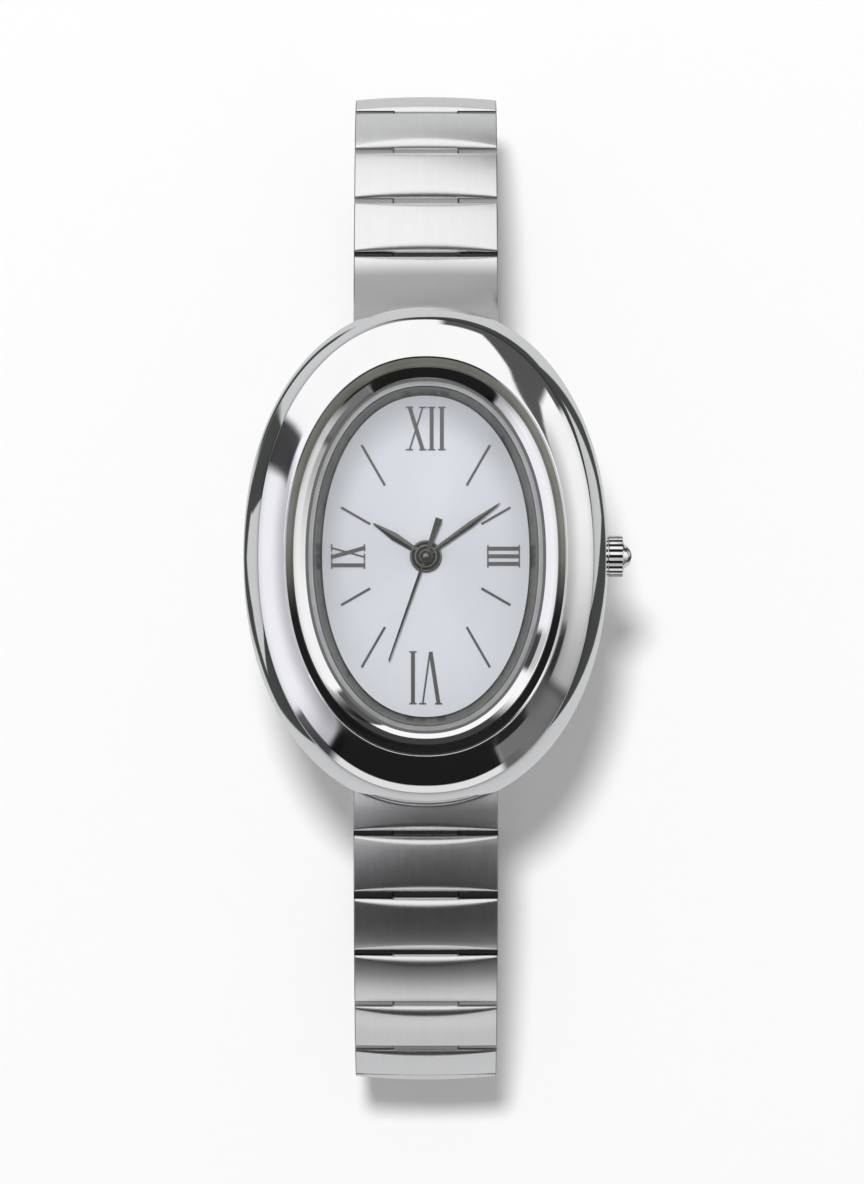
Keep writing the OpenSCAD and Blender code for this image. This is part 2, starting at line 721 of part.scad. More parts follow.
module circuit_board() color("darkgreen") at_head() translate([board_low[0], board_low[1], plate_low - board_t]) {
    cube([board_size[0], board_size[1], board_t]);
    translate([chip_at[0], chip_at[1], -chip_size[2]]) cube([chip_size[0], chip_size[1], chip_size[2] + eps]);
    rod_x(can_r, can_at[0], can_at[0] + can_len, can_at[1], eps - can_r);
}
// Flat bar from one end to the other of the coil's core, both ways from the middle
module both_ends(x0, x1, y0, y1, z0, z1)
    for (side = [0, 1]) mirror([side, 0, 0]) block(x0, x1, y0, y1, z0, z1);
module coil() color("orangered") at_head() {
    difference() {
        union() {
            block(-core_half, core_half, coil_y - core_w / 2, coil_y + core_w / 2, stator_z - core_t, stator_z);
            both_ends(coil_half + coil_gap, core_half, coil_y - stator_arm / 2, coil_y + stator_arm / 2,
                      stator_z - core_t, stator_z);
        }
        for (i = [0, 1]) rod_z(screw_d / 2 - thread_in, 0, case_h, screw_at[i]);
    }
    difference() {
        rod_x(coil_d / 2, -coil_half, coil_half, coil_y, stator_z - core_t / 2);
        block(-core_half, core_half, coil_y - core_w / 2 - seat_play, coil_y + core_w / 2 + seat_play,
              stator_z - core_t - seat_play, stator_z + seat_play);
    }
}
module stator() color("lightgray") at_head() difference() {
    union() {
        block(-core_half, core_half, rotor_at[1] - stator_w / 2, rotor_at[1] + stator_w / 2,
              stator_z, stator_z + stator_t);
        both_ends(core_half - stator_arm, core_half, coil_y - stator_arm / 2, rotor_at[1],
                  stator_z, stator_z + stator_t);
    }
    rod_z(magnet_r + magnet_play, 0, case_h, rotor_at);
    for (i = [0, 1]) rod_z(screw_d / 2 - thread_in, 0, case_h, screw_at[i]);
}
// Toothed wheel with a tooth centred on the angle phase
module toothed(n, m, t, phase, at, z)
    translate([at[0], at[1], z]) linear_extrude(t)
        polygon([for (i = [0 : n - 1])
                for (k = [[-0.32, -tooth_root], [-0.14, tooth_top], [0.14, tooth_top], [0.32, -tooth_root]])
            let (a = phase + 360 * (i + k[0]) / n, r = m * (n / 2 + k[1])) r * [cos(a), sin(a)]]);
function heading(p, q) = atan2(q[1] - p[1], q[0] - p[0]);
module arbor(at) {
    rod_z(pivot_r, bridge_low + shake, works_low - 2 * shake, at);
    rod_z(arbor_r, bridge_low + bridge_t + shake, plate_low - shake, at);
}
module rotor() color("crimson") at_head() {
    arbor(rotor_at);
    toothed(rotor_teeth, drive_m, stator_z - fifth_z + 3 * shake, heading(rotor_at, fifth_at), rotor_at,
            fifth_z - 3 * shake);
    rod_z(magnet_r, stator_z, stator_z + stator_t, rotor_at);
}
module fifth_wheel() color("orange") at_head() {
    arbor(fifth_at);
    toothed(fifth_teeth, drive_m, wheel_t, heading(fifth_at, rotor_at) + 180 / fifth_teeth, fifth_at, fifth_z);
    toothed(small_teeth, fifth_m, fifth_z - second_z, heading(fifth_at, centre), fifth_at, second_z);
}
module second_wheel() color("gold") at_head() {
    toothed(second_teeth, fifth_m, wheel_t, heading(centre, fifth_at) + 180 / second_teeth, centre, second_z);
    toothed(small_teeth, third_m, second_pinion_t, heading(centre, third_at), centre, second_z + wheel_t);
    rod_z(second_arbor_r, second_z, second_hand_z + hand_t);
    rod_z(pivot_r, bridge_low + shake, second_z + eps);
}
module third_wheel() color("gold") at_head() {
    arbor(third_at);
    toothed(third_teeth, third_m, wheel_t, heading(third_at, centre) + 180 / third_teeth, third_at, third_z);
    toothed(small_teeth, centre_m, small_t, heading(third_at, centre), third_at, third_z + wheel_t);
}
module centre_wheel() color("gold") at_head() difference() {
    union() {
        toothed(centre_teeth, centre_m, wheel_t, heading(centre, third_at) + 180 / centre_teeth, centre, centre_z);
        rod_z(cannon_out, centre_z - hole_play, minute_hand_z + hand_t);
        toothed(cannon_teeth, works_m, cannon_t, heading(centre, minute_at), centre, minute_z - seat_play);
    }
    rod_z(cannon_in, 0, case_h);
}
module minute_wheel() color("gold") at_head() difference() {
    union() {
        toothed(minute_teeth, works_m, wheel_t, heading(minute_at, centre) + 180 / minute_teeth, minute_at, minute_z);
        toothed(minute_small, hour_m, small_t, heading(minute_at, centre), minute_at, minute_z + wheel_t);
    }
    rod_z(post_r + hole_play, 0, case_h, minute_at);
}
module hour_wheel() color("gold") at_head() difference() {
    union() {
        toothed(hour_teeth, hour_m, wheel_t, heading(centre, minute_at) + 180 / hour_teeth, centre, hour_z);
        rod_z(hour_out, hour_z, hour_hand_z + hand_t);
    }
    rod_z(hour_in, 0, case_h);
}
module setting_wheel() color("gold") at_head() difference() {
    toothed(setting_teeth, works_m, wheel_t, heading(setting_at, minute_at) + 180 / setting_teeth, setting_at, minute_z);
    rod_z(post_r + hole_play, 0, case_h, setting_at);
}
module battery() color("lightsteelblue") at_head() {
    rod_z(battery_d / 2, bridge_low + battery_rim, bridge_low + battery_t, battery_at);
    rod_z(battery_d / 2 - battery_step, bridge_low, bridge_low + battery_rim + eps, battery_at);
}
module battery_clamp() color("silver") at_head()
    translate([battery_at[0], battery_at[1], 0]) rotate(clamp_way) difference() {
        block(-clamp_in, clamp_far + clamp_w / 2, -clamp_w / 2, clamp_w / 2, bridge_low - clamp_t, bridge_low);
        rod_z(screw_head_d / 2 + stem_play, 0, plate_low, [clamp_far, 0]);
    }

// Bracelet: a link's frame has its inner pin at the origin and its outer pin along y
module crowned(length)
    intersection() {
        children();
        crown_r = (band_w * band_w / 4 + link_crown * link_crown) / (2 * link_crown);
        translate([0, -over, link_rise - crown_r]) rotate([-90, 0, 0])
            cylinder(r = crown_r, h = length + 2 * over, $fn = 360);
    }
module hinge_tongue(length) {
    rod_x(knuckle_r, -tongue_w / 2, tongue_w / 2);
    block(-tongue_w / 2, tongue_w / 2, 0, length, -knuckle_r, knuckle_r);
}
module hinge_arms(y)
    for (side = [-1, 1]) {
        near = tongue_w / 2 + slip;
        x0 = side < 0 ? -band_w / 2 : near;
        x1 = side < 0 ? -near : band_w / 2;
        rod_x(knuckle_r, x0, x1, y);
        block(x0, x1, y - neck_len, y, -knuckle_r, knuckle_r);
    }
module far_cuts(y) {
    rod_x(plate_under, -tongue_w / 2 - slip, tongue_w / 2 + slip, y);
    rod_x(pin_d / 2 + press_fit, -band_w, band_w, y);
}
module near_cuts() {
    for (side = [-1, 1])
        rod_x(plate_under, side < 0 ? -band_w : tongue_w / 2, side < 0 ? -tongue_w / 2 : band_w);
    rod_x(pin_d / 2 + run_fit, -band_w, band_w);
}
module hinge_pin(y) rod_x(pin_d / 2, -pin_len / 2, pin_len / 2, y);
module link(last) {
    far = last ? link_pitch - hook_r - butt_gap : link_pitch - seam / 2;
    difference() {
        union() {
            crowned(link_pitch) along_x(band_w) polygon([
                [seam / 2, -link_drop], [far, -link_drop], [far, link_rise - bevel_h],
                [far - bevel_w, link_rise], [seam / 2 + bevel_w, link_rise], [seam / 2, link_rise - bevel_h]]);
            hinge_tongue(neck_len);
            if (!last) hinge_arms(link_pitch);
        }
        near_cuts();
        if (!last) far_cuts(link_pitch);
    }
    if (!last) hinge_pin(link_pitch);
}
module end_piece(length) {
    far = length - seam / 2;
    difference() {
        union() {
            crowned(length) along_x(band_w) polygon([
                [0, -link_drop], [far, -link_drop], [far, link_rise - bevel_h],
                [far - bevel_w, link_rise], [root_len, link_rise], [root_in, barrel_r - root_drop],
                [0, barrel_r - root_drop]]);
            rod_x(barrel_r, -band_w / 2, band_w / 2);
            hinge_arms(length);
        }
        far_cuts(length);
        rod_x(bar_d / 2 + run_fit, -band_w, band_w);
    }
    hinge_pin(length);
}
// Place k along the chain, where 0 is the end piece: side is 1 at 12 o'clock and -1 at 6 o'clock
module on_chain(side, k) {
    tilts = side > 0 ? tilts_12 : tilts_6;
    at = reach(tilts, side > 0 ? end_12_len : end_6_len, k);
    rotate([0, 0, side > 0 ? 0 : 180])
        translate([0, at[0], head_z + bar_z + at[1]]) rotate([-tilts[k], 0, 0]) children();
}
module end_piece_12() color("silver") on_chain(1, 0) end_piece(end_12_len);
module end_piece_6() color("silver") on_chain(-1, 0) end_piece(end_6_len);
module link_12(i) color("lightgray") on_chain(1, i) link(false);
module link_6(i) color("lightgray") on_chain(-1, i) link(i == links_6);
module spring_bars() color("gray") at_head()
    for (side = [-1, 1]) {
        rod_x(bar_d / 2, -band_w / 2 - bar_play, band_w / 2 + bar_play, side * bar_y, bar_z);
        rod_x(tip_d / 2, -bar_half, bar_half, side * bar_y, bar_z);
    }

// Folding clasp: the inner blade hangs on the last link at 12 o'clock
module clasp_inner_blade() color("lightgray") difference() {
    union() {
        block(-blade_half, blade_half, fold_at[0] + fold_r + slip, hook_12 - knuckle_r - 2 * slip, inner_low, inner_high);
        rod_x(knuckle_r, -tongue_w / 2, tongue_w / 2, hook_12, hook_z);
        block(-tongue_w / 2, tongue_w / 2, hook_12 - neck_len, hook_12, inner_low, hook_z + knuckle_r);
        rod_x(fold_r, -tongue_w / 2, tongue_w / 2, fold_at[0], fold_at[1]);
        block(-tongue_w / 2, tongue_w / 2, fold_at[0], fold_at[0] + fold_root, inner_low, inner_high);
    }
    rod_x(pin_d / 2 + run_fit, -band_w, band_w, hook_12, hook_z);
    rod_x(pin_d / 2 + run_fit, -band_w, band_w, fold_at[0], fold_at[1]);
}
module clasp_outer_blade() color("darkgray") {
    difference() {
        union() {
            block(-blade_half, blade_half, fold_at[0] + fold_r + slip, cover_at[0] - cover_pin_r, outer_low, outer_high);
            for (side = [-1, 1]) {
                x0 = side < 0 ? -blade_half : tongue_w / 2 + slip;
                x1 = side < 0 ? -tongue_w / 2 - slip : blade_half;
                rod_x(fold_r, x0, x1, fold_at[0], fold_at[1]);
                block(x0, x1, fold_at[0], fold_at[0] + fold_root, outer_low, outer_high);
            }
            rod_x(cover_pin_r, -blade_half, blade_half, cover_at[0], cover_at[1]);
            block(-blade_half, blade_half, cover_at[0] - cover_root, cover_at[0], outer_low, outer_high);
        }
        rod_x(pin_d / 2 + press_fit, -band_w, band_w, fold_at[0], fold_at[1]);
        rod_x(pin_d / 2 + run_fit, -band_w, band_w, cover_at[0], cover_at[1]);
    }
    rod_x(pin_d / 2, -blade_half + blade_play / 2, blade_half - blade_play / 2, fold_at[0], fold_at[1]);
}
module clasp_cover() color("silver") {
    difference() {
        union() {
            block(-band_w / 2, band_w / 2, hook_6, cover_at[0], 0, cover_t);
            for (side = [-1, 1]) {
                x0 = side < 0 ? -band_w / 2 : band_w / 2 - skirt_t;
                rod_x(hook_r, x0, x0 + skirt_t, hook_6, hook_z);
                block(x0, x0 + skirt_t, hook_6, cover_at[0], 0, cover_at[1] + cover_r);
                rod_x(cover_r, x0, x0 + skirt_t, cover_at[0], cover_at[1]);
            }
            rod_x(hook_r, -band_w / 2, band_w / 2, hook_6, hook_z);
            block(-band_w / 2, band_w / 2, hook_6, hook_6 + hook_wall, 0, hook_z);
        }
        for (p = [[hook_6, hook_z], cover_at]) rod_x(pin_d / 2 + press_fit, -band_w, band_w, p[0], p[1]);
    }
    for (p = [[hook_6, hook_z], cover_at]) rod_x(pin_d / 2, -pin_len / 2, pin_len / 2, p[0], p[1]);
}

case_body();
case_back();
back_gasket();
crystal();
crystal_gasket();
rehaut_ring();
dial();
dial_markers();
hour_hand();
minute_hand();
second_hand();
crown();
crown_stem();
crown_seal();
movement_ring();
main_plate();
train_bridge();
bridge_screws();
circuit_board();
coil();
stator();
rotor();
fifth_wheel();
second_wheel();
third_wheel();
centre_wheel();
minute_wheel();
hour_wheel();
setting_wheel();
sliding_pinion();
setting_lever();
battery();
battery_clamp();
spring_bars();
end_piece_12();
end_piece_6();
clasp_inner_blade();
clasp_outer_blade();
clasp_cover();
for (i = [1 : links_12]) link_12(i);
for (i = [1 : links_6]) link_6(i);
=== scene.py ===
# Oval dress watch: case, crystal, hands, crown, bracelet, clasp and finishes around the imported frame
import json
import math

import bmesh
import bpy
from mathutils import Matrix, Vector


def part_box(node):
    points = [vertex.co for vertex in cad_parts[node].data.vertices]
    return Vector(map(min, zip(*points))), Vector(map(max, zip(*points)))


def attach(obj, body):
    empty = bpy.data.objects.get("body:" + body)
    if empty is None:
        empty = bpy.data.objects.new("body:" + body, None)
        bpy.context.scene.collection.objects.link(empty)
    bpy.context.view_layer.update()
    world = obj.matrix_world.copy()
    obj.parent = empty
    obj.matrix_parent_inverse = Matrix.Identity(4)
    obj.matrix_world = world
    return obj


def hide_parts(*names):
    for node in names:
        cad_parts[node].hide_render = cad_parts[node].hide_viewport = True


bl_info = {
    "name": "Oval Dress Watch",
    "version": (1, 0, 0),
    "blender": (4, 5, 0),
    "location": "3D View > Sidebar > Watch",
    "description": "Builds the case, crystal, hands, crown, bracelet and finishes of a dress watch",
    "category": "Object",
}

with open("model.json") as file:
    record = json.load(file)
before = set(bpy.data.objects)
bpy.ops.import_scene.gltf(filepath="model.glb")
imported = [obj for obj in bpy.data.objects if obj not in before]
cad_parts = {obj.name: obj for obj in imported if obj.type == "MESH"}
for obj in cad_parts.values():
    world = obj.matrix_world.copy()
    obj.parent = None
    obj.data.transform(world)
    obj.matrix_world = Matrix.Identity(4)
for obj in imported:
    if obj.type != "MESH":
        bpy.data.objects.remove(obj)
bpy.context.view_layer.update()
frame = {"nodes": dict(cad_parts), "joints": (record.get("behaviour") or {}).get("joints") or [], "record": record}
MM = 0.001
BODIES = frame["record"]["behaviour"]["bodies"]
BODY_OF = {node: body for body, nodes in BODIES.items() for node in nodes}
SLOT_OF = {part["node"]: part["material_slot"] for part in frame["record"]["subparts"]}
HINGES = {joint["child"]: joint for joint in frame["joints"]}


def low(node):
    """Lowest corner of a node, in millimetres."""
    return [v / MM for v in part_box(node)[0]]


def high(node):
    """Highest corner of a node, in millimetres."""
    return [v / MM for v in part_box(node)[1]]


# Clearances of the solids round the dial and the back cover, in millimetres
DIAL_PLAY = 0.05
BACK_PLAY = 0.02

# Places taken from the frame, in millimetres: A is a half width, B a half length
HEAD_Z = low("case_back")[2]
CASE_A, CASE_B, CASE_TOP = high("case_body")
CRYSTAL_A, CRYSTAL_B, CRYSTAL_TOP = high("crystal")
CRYSTAL_UNDER = low("crystal")[2]
BORE_A, BORE_B = high("rehaut_ring")[:2]
DIAL_TOP = low("dial_markers")[2]
BACK_A, BACK_B = [half + BACK_PLAY for half in high("case_back")[:2]]
CAVITY_A, CAVITY_B = [half + DIAL_PLAY for half in high("dial")[:2]]
STEM_Z = (low("crown")[2] + high("crown")[2]) / 2

# Power of the case's squared oval outline
OUTLINE_POWER = 2.15

# Case, in millimetres, with heights over the back of the head, as in the solids
WIDEST_Z = 4.4
FOOT_Z = 0.1
FOOT_INSET = 1.7
BACK_SEAT = 0.75
STEM_BORE_R = 0.8

# Pockets for the end pieces, in millimetres
BAR_INSET = 2.75
POCKET_IN = 1.15
POCKET_TOP = 3.35
POCKET_HALF = 5.1

# Looks of the case: sharp angle in degrees, how the inner ring falls away, the share of its height
# below which it is mirror steel, and the y beyond which the bezel's crest takes the inner ring's painted dark
# reflection
CASE_SHARP = 38.0
RING_DIP = 1.6
RING_LINE = 0.62
PAINTED_DARK_CREST_Y = -8.0

# Crystal and rings, in millimetres
CRYSTAL_BEVEL = 0.3
CRYSTAL_SIDE = 0.17
GASKET_DROP = 0.15
REHAUT_LIP = 0.06
REHAUT_RISE = 0.75

# Hands, in millimetres, and their sharp angle in degrees
HAND_THICK = 0.1
HUB_RIM = 0.09
HUB_GROOVE = 0.1
HAND_SHARP = 18.0

# Crown, in millimetres
FLUTES = 22
FLUTE_DEPTH = 0.16
CROWN_GAP = 0.06
CROWN_LENGTH = 1.0
CROWN_EDGE = 0.09
DOME_R = 0.92
DOME_SUNK = 0.3
COLLAR_R = (1.02, 0.94)
COLLAR_DEPTH = 0.1
COLLAR_UP = 0.03
NECK_R = 0.75
NECK_DEPTH = 1.9
NECK_IN = 0.05

# Bracelet, in millimetres: links, and the hook on the clasp's cover
PITCH = 4.3
SEAM = 0.24
LINK_RISE = 1.35
LINK_CROWN = 0.26
BAND_HALF = 5.0
HOOK_R = 0.85
HOOK_Z = 1.65

# Rolled outline of a link, in millimetres over its pins, a little inside its solid. Its lens-shaped
# ends fade out where its top comes down to LENS_Z. END_ is for the fall of an end piece beside the
# case, NO_SEAM stands for the seam that an end piece lacks there, and LINK_SHARP is in degrees
INSIDE = 0.02
SHELF_Z = 0.78
LINK_UNDER = -1.2
PAST_END = 2.5
TOP_DROP = 0.14
FLAT_SHARE = 0.983
LENS_Z = 1.05
LENS_RISE = 0.28
EDGE_WIDTH = 0.16
EDGE_DEPTH = 0.2
LENS_WIDTH = 0.52
LENS_DEPTH = 0.33
END_FALL = 0.06
END_FALL_LENGTH = 1.2
END_FALL_MOST = 0.6
NO_SEAM = -9.0
LINK_SHARP = 17.0

# The first seam of each side, counted from the case, whose barrels take the paler painted shade
FIRST_PALE_SEAM = {"12": 2, "6": 4}

# Places of the finishes on pieces that have more than one
MAIN = 0
LIP, INNER_RING = 1, 2
GROUND_EDGE = 1
# GROOVE takes painted shade and CREST a painted highlight
GROOVE, CREST, CROWN_LAND = 1, 2, 2
# BARREL and PALE_BARREL take deeper and paler painted shade in the seams, EDGE painted shade on the eased edges
BARREL, EDGE, PALE_BARREL = 1, 2, 3


class WatchCaseSizes(bpy.types.PropertyGroup):
    """Sizes of the case, its rings and its crystal"""

    bezel: bpy.props.FloatProperty(
        name="Bezel width", description="Width of the domed bezel at 3 and 9 o'clock",
        default=2.9 * MM, min=2.7 * MM, max=3 * MM, precision=5, unit="LENGTH")
    stretch: bpy.props.FloatProperty(
        name="End stretch", description="How much wider the bezel is at 12 and 6 o'clock",
        default=1.25, min=1.15, max=1.3)
    lip: bpy.props.FloatProperty(
        name="Lip", description="Width and depth of the bezel's rounded inner lip",
        default=0.6 * MM, min=0.5 * MM, max=0.65 * MM, precision=5, unit="LENGTH")
    rehaut: bpy.props.FloatProperty(
        name="Sloped ring", description="Width of the dark sloped ring round the dial",
        default=0.6 * MM, min=0.5 * MM, max=0.7 * MM, precision=5, unit="LENGTH")
    sides: bpy.props.IntProperty(
        name="Sides", description="Points round each oval", default=216, min=96, max=288)


class WatchHandSizes(bpy.types.PropertyGroup):
    """Lengths and clock angles of the hands"""

    hour: bpy.props.FloatProperty(
        name="Hour hand", description="Length of the hour hand",
        default=4.3 * MM, precision=5, unit="LENGTH")
    minute: bpy.props.FloatProperty(
        name="Minute hand", description="Length of the minute hand",
        default=6.3 * MM, precision=5, unit="LENGTH")
    second: bpy.props.FloatProperty(
        name="Second hand", description="Length of the second hand",
        default=7.58 * MM, precision=5, unit="LENGTH")
    tail: bpy.props.FloatProperty(
        name="Tail", description="Length of the second hand's tail",
        default=2.75 * MM, precision=5, unit="LENGTH")
    hour_angle: bpy.props.FloatProperty(
        name="Hour angle", description="Clock angle of the hour hand",
        default=math.radians(302), unit="ROTATION")
    minute_angle: bpy.props.FloatProperty(
        name="Minute angle", description="Clock angle of the minute hand",
        default=math.radians(54.4), unit="ROTATION")
    second_angle: bpy.props.FloatProperty(
        name="Second angle", description="Clock angle of the second hand",
        default=math.radians(199.5), unit="ROTATION")


class WatchFinishes(bpy.types.PropertyGroup):
    """Colours of the metals, the dial and the print"""

    mirror: bpy.props.FloatVectorProperty(
        name="Mirror steel", description="Colour of the polished steel",
        default=(0.94, 0.94, 0.95), subtype="COLOR", min=0, max=1)
    brushed: bpy.props.FloatVectorProperty(
        name="Brushed steel", description="Colour of the brushed steel",
        default=(0.965, 0.965, 0.97), subtype="COLOR", min=0, max=1)
    dial: bpy.props.FloatVectorProperty(
        name="Dial", description="Colour of the silvered dial",
        default=(0.79, 0.82, 0.87), subtype="COLOR", min=0, max=1)
    # The markers are polished silver: their dark colour is a painted dark reflection
    printed: bpy.props.FloatVectorProperty(
        name="Markers", description="Colour of the numerals and hour lines",
        default=(0.185, 0.185, 0.18), subtype="COLOR", min=0, max=1)
    # The hands are polished silver: their dark colour is a painted dark reflection
    hands: bpy.props.FloatVectorProperty(
        name="Hands", description="Colour of the dark polished hands",
        default=(0.165, 0.165, 0.135), subtype="COLOR", min=0, max=1)
    ring: bpy.props.FloatVectorProperty(
        name="Sloped ring", description="Colour of the dark ring round the dial",
        default=(0.2, 0.2, 0.18), subtype="COLOR", min=0, max=1)
    brass: bpy.props.FloatVectorProperty(
        name="Brass", description="Colour of the wheels and plates",
        default=(0.78, 0.6, 0.3), subtype="COLOR", min=0, max=1)


# Shader graphs
class Socket:
    """One output of a shader graph that takes plain arithmetic."""

    def __init__(self, graph, out):
        self.graph = graph
        self.out = out

    def math(self, operation, *values):
        return self.graph.node("ShaderNodeMath", {"operation": operation}, values)

    def sine(self):
        return self.math("SINE", self)

    def absolute(self):
        return self.math("ABSOLUTE", self)

    def __add__(self, other):
        return self.math("ADD", self, other)

    def __sub__(self, other):
        return self.math("SUBTRACT", self, other)

    def __rsub__(self, other):
        return self.math("SUBTRACT", other, self)

    def __mul__(self, other):
        return self.math("MULTIPLY", self, other)

    def __neg__(self):
        return self.math("MULTIPLY", self, -1)

    def least(self, other):
        return self.math("MINIMUM", self, other)

    def most(self, other):
        return self.math("MAXIMUM", self, other)

    __radd__ = __add__
    __rmul__ = __mul__


class Graph:
    """The node tree of a material or a world."""

    def __init__(self, owner):
        owner.use_nodes = True
        self.tree = owner.node_tree
        self.tree.nodes.clear()

    def node(self, kind, settings=None, values=(), out=0):
        made = self.tree.nodes.new(kind)
        for name, value in (settings or {}).items():
            setattr(made, name, value)
        pairs = values.items() if isinstance(values, dict) else enumerate(values)
        for name, value in pairs:
            if isinstance(value, Socket):
                self.tree.links.new(value.out, made.inputs[name])
            elif value is not None:
                made.inputs[name].default_value = value
        return Socket(self, made.outputs[out])

    def vector(self, operation, values, out=0):
        return self.node("ShaderNodeVectorMath", {"operation": operation}, values, out)

    def object_mm(self):
        """Object coordinates in millimetres."""
        place = self.node("ShaderNodeTexCoord", out="Object")
        return self.vector("SCALE", {"Vector": place, "Scale": 1 / MM})

    def brush_mm(self):
        """The piece's own map, in millimetres across and along its brushing."""
        place = self.node("ShaderNodeUVMap", {"uv_map": "Brush"})
        return self.vector("SCALE", {"Vector": place, "Scale": 10})

    def stretched(self, place, factors):
        return self.vector("MULTIPLY", [place, factors])

    def length(self, place):
        return self.vector("LENGTH", [place], "Value")

    def joined(self, x, y, z):
        return self.node("ShaderNodeCombineXYZ", values=[x, y, z])

    def split(self, place):
        made = self.node("ShaderNodeSeparateXYZ", values=[place]).out.node
        return [Socket(self, out) for out in made.outputs]

    def noise(self, place, scale=1.0, detail=3.0, rough=0.5):
        values = {"Vector": place, "Scale": scale, "Detail": detail, "Roughness": rough}
        return self.node("ShaderNodeTexNoise", values=values)

    def step(self, value, start, end):
        """Smooth rise from 0 at start to 1 at end."""
        settings = {"interpolation_type": "SMOOTHSTEP", "clamp": True}
        values = {"Value": value, "From Min": start, "From Max": end}
        return self.node("ShaderNodeMapRange", settings, values)

    def between(self, first, second, share):
        """Mix of two colours."""
        settings = {"data_type": "RGBA", "blend_type": "MIX"}
        return self.node("ShaderNodeMix", settings, {0: share, 6: first, 7: second}, out=2)

    def bump(self, height, strength, distance=0.00003):
        values = {"Strength": strength, "Distance": distance, "Height": height}
        return self.node("ShaderNodeBump", values=values)

    def below(self, value, limit, soft):
        """One below a limit and zero above it."""
        return 1 - self.step(value, limit - soft, limit + soft)

    def gate(self, value, start, end, soft):
        """One between two limits and zero outside them."""
        return self.step(value, start - soft, start + soft) * self.below(value, end, soft)

    def ray(self, kind):
        """One for the rays of one kind, such as those that a polished surface mirrors."""
        return self.node("ShaderNodeLightPath", out=f"Is {kind} Ray")

    def surface(self, values):
        self.end(self.node("ShaderNodeBsdfPrincipled", values=values))

    def grain_surface(self, dark, light, metallic, rough, scale, detail=3.0, spread=0.1, raised=0.0):
        """A surface whose fine grain varies its colour and roughness, and may be raised."""
        grain = self.noise(self.object_mm(), scale, detail)
        values = {
            "Base Color": self.between(dark, light, grain),
            "Metallic": metallic,
            "Roughness": rough + grain * spread,
        }
        if raised:
            values["Normal"] = self.bump(grain, raised)
        self.surface(values)

    def glass(self, dark, light, smudge, metallic, rough, share):
        """Clear glass of which a share shows its gloss."""
        gloss = self.node("ShaderNodeBsdfPrincipled", values={
            "Base Color": self.between(rgba(dark), rgba(light), smudge),
            "Metallic": metallic,
            "Roughness": rough,
        })
        self.end(self.mix_shaders(share, self.node("ShaderNodeBsdfTransparent"), gloss))

    def mix_shaders(self, share, first, second):
        return self.node("ShaderNodeMixShader", values=[share, first, second])

    def glow(self, colour, strength=1.0):
        return self.node("ShaderNodeBackground", values={"Color": colour, "Strength": strength})

    def end(self, shader, kind="ShaderNodeOutputMaterial"):
        made = self.tree.nodes.new(kind)
        self.tree.links.new(shader.out, made.inputs["Surface"])


def rgba(colour, share=1.0):
    """A share of a colour; one that a user sets is given by its name."""
    if isinstance(colour, str):
        colour = getattr(bpy.context.scene.watch_finishes, colour)
    return tuple(min(1.0, c * share) for c in colour) + (1.0,)


def grey(value):
    return (value, value, value)


MADE = {}


def finish(name, build=None):
    """The named material, made the first time it is asked for."""
    if name not in MADE:
        material = bpy.data.materials.new(name)
        (build or FINISHES[name])(Graph(material))
        MADE[name] = material
    return MADE[name]


# Finishes
def grained(dark, light, *settings):
    """A finish with fine grain between two colours."""
    return lambda graph: graph.grain_surface(rgba(dark), rgba(light), *settings)


def toned(colour, least, most, *settings):
    """A finish with fine grain between two shares of a colour, which may be one that a user sets."""
    return lambda graph: graph.grain_surface(rgba(colour, least), rgba(colour, most), *settings)


def mirror_steel(graph):
    """Mirror-polished steel with a faint haze and fine wiping marks."""
    place = graph.object_mm()
    haze = graph.noise(place, 0.35, 2.0)
    wipe = graph.noise(graph.stretched(place, (2.0, 9.0, 9.0)), 1.0, 4.0)
    graph.surface({
        "Base Color": graph.between(rgba("mirror", 0.97), rgba("mirror", 1.03), haze),
        "Metallic": 1.0,
        "Roughness": 0.035 + wipe * 0.03,
        "Normal": graph.bump(haze, 0.02, 0.0002),
    })


def brushed_steel(graph, shaded_end=None):
    """Steel brushed along the band; it may carry painted shade near one end, greyer beside the case at 12 o'clock.
    """
    place = graph.brush_mm()
    lines = graph.noise(graph.stretched(place, (11.0, 0.3, 1.0)), 1.0, 5.0, 0.65)
    broad = graph.noise(graph.stretched(place, (2.2, 0.12, 1.0)), 1.0, 2.0)
    base = graph.between(rgba("brushed", 0.86), rgba("brushed", 1.12), lines * 0.7 + broad * 0.3)
    # Painted shade: the base colour turns greyer towards the shaded end
    if shaded_end is not None:
        x, y, z = graph.split(place)
        bright = graph.step(y, shaded_end - 1.7, shaded_end - 0.1)
        base = graph.between(rgba("brushed", 0.42), base, bright)
    graph.surface({
        "Base Color": base,
        "Metallic": 1.0,
        "Roughness": 0.24 + lines * 0.14,
        "Normal": graph.bump(lines, 0.3),
    })


def ring_steel(graph):
    """Polished steel of the inner ring, with a painted dark reflection at its 6 o'clock end."""
    place = graph.object_mm()
    x, y, z = graph.split(place)
    grain = graph.noise(place, 0.5, 3.0)
    bright = graph.between(rgba("mirror", 0.95), rgba("mirror", 1.02), grain)
    graph.surface({
        # Painted dark reflection: the base colour goes nearly black towards 6 o'clock
        "Base Color": graph.between(rgba((0.05, 0.05, 0.048)), bright, graph.step(y, -11.3, -9.4)),
        "Metallic": 0.45 + graph.step(y.absolute(), 8.6, 10.6) * 0.55,
        "Roughness": 0.05 + grain * 0.03,
    })


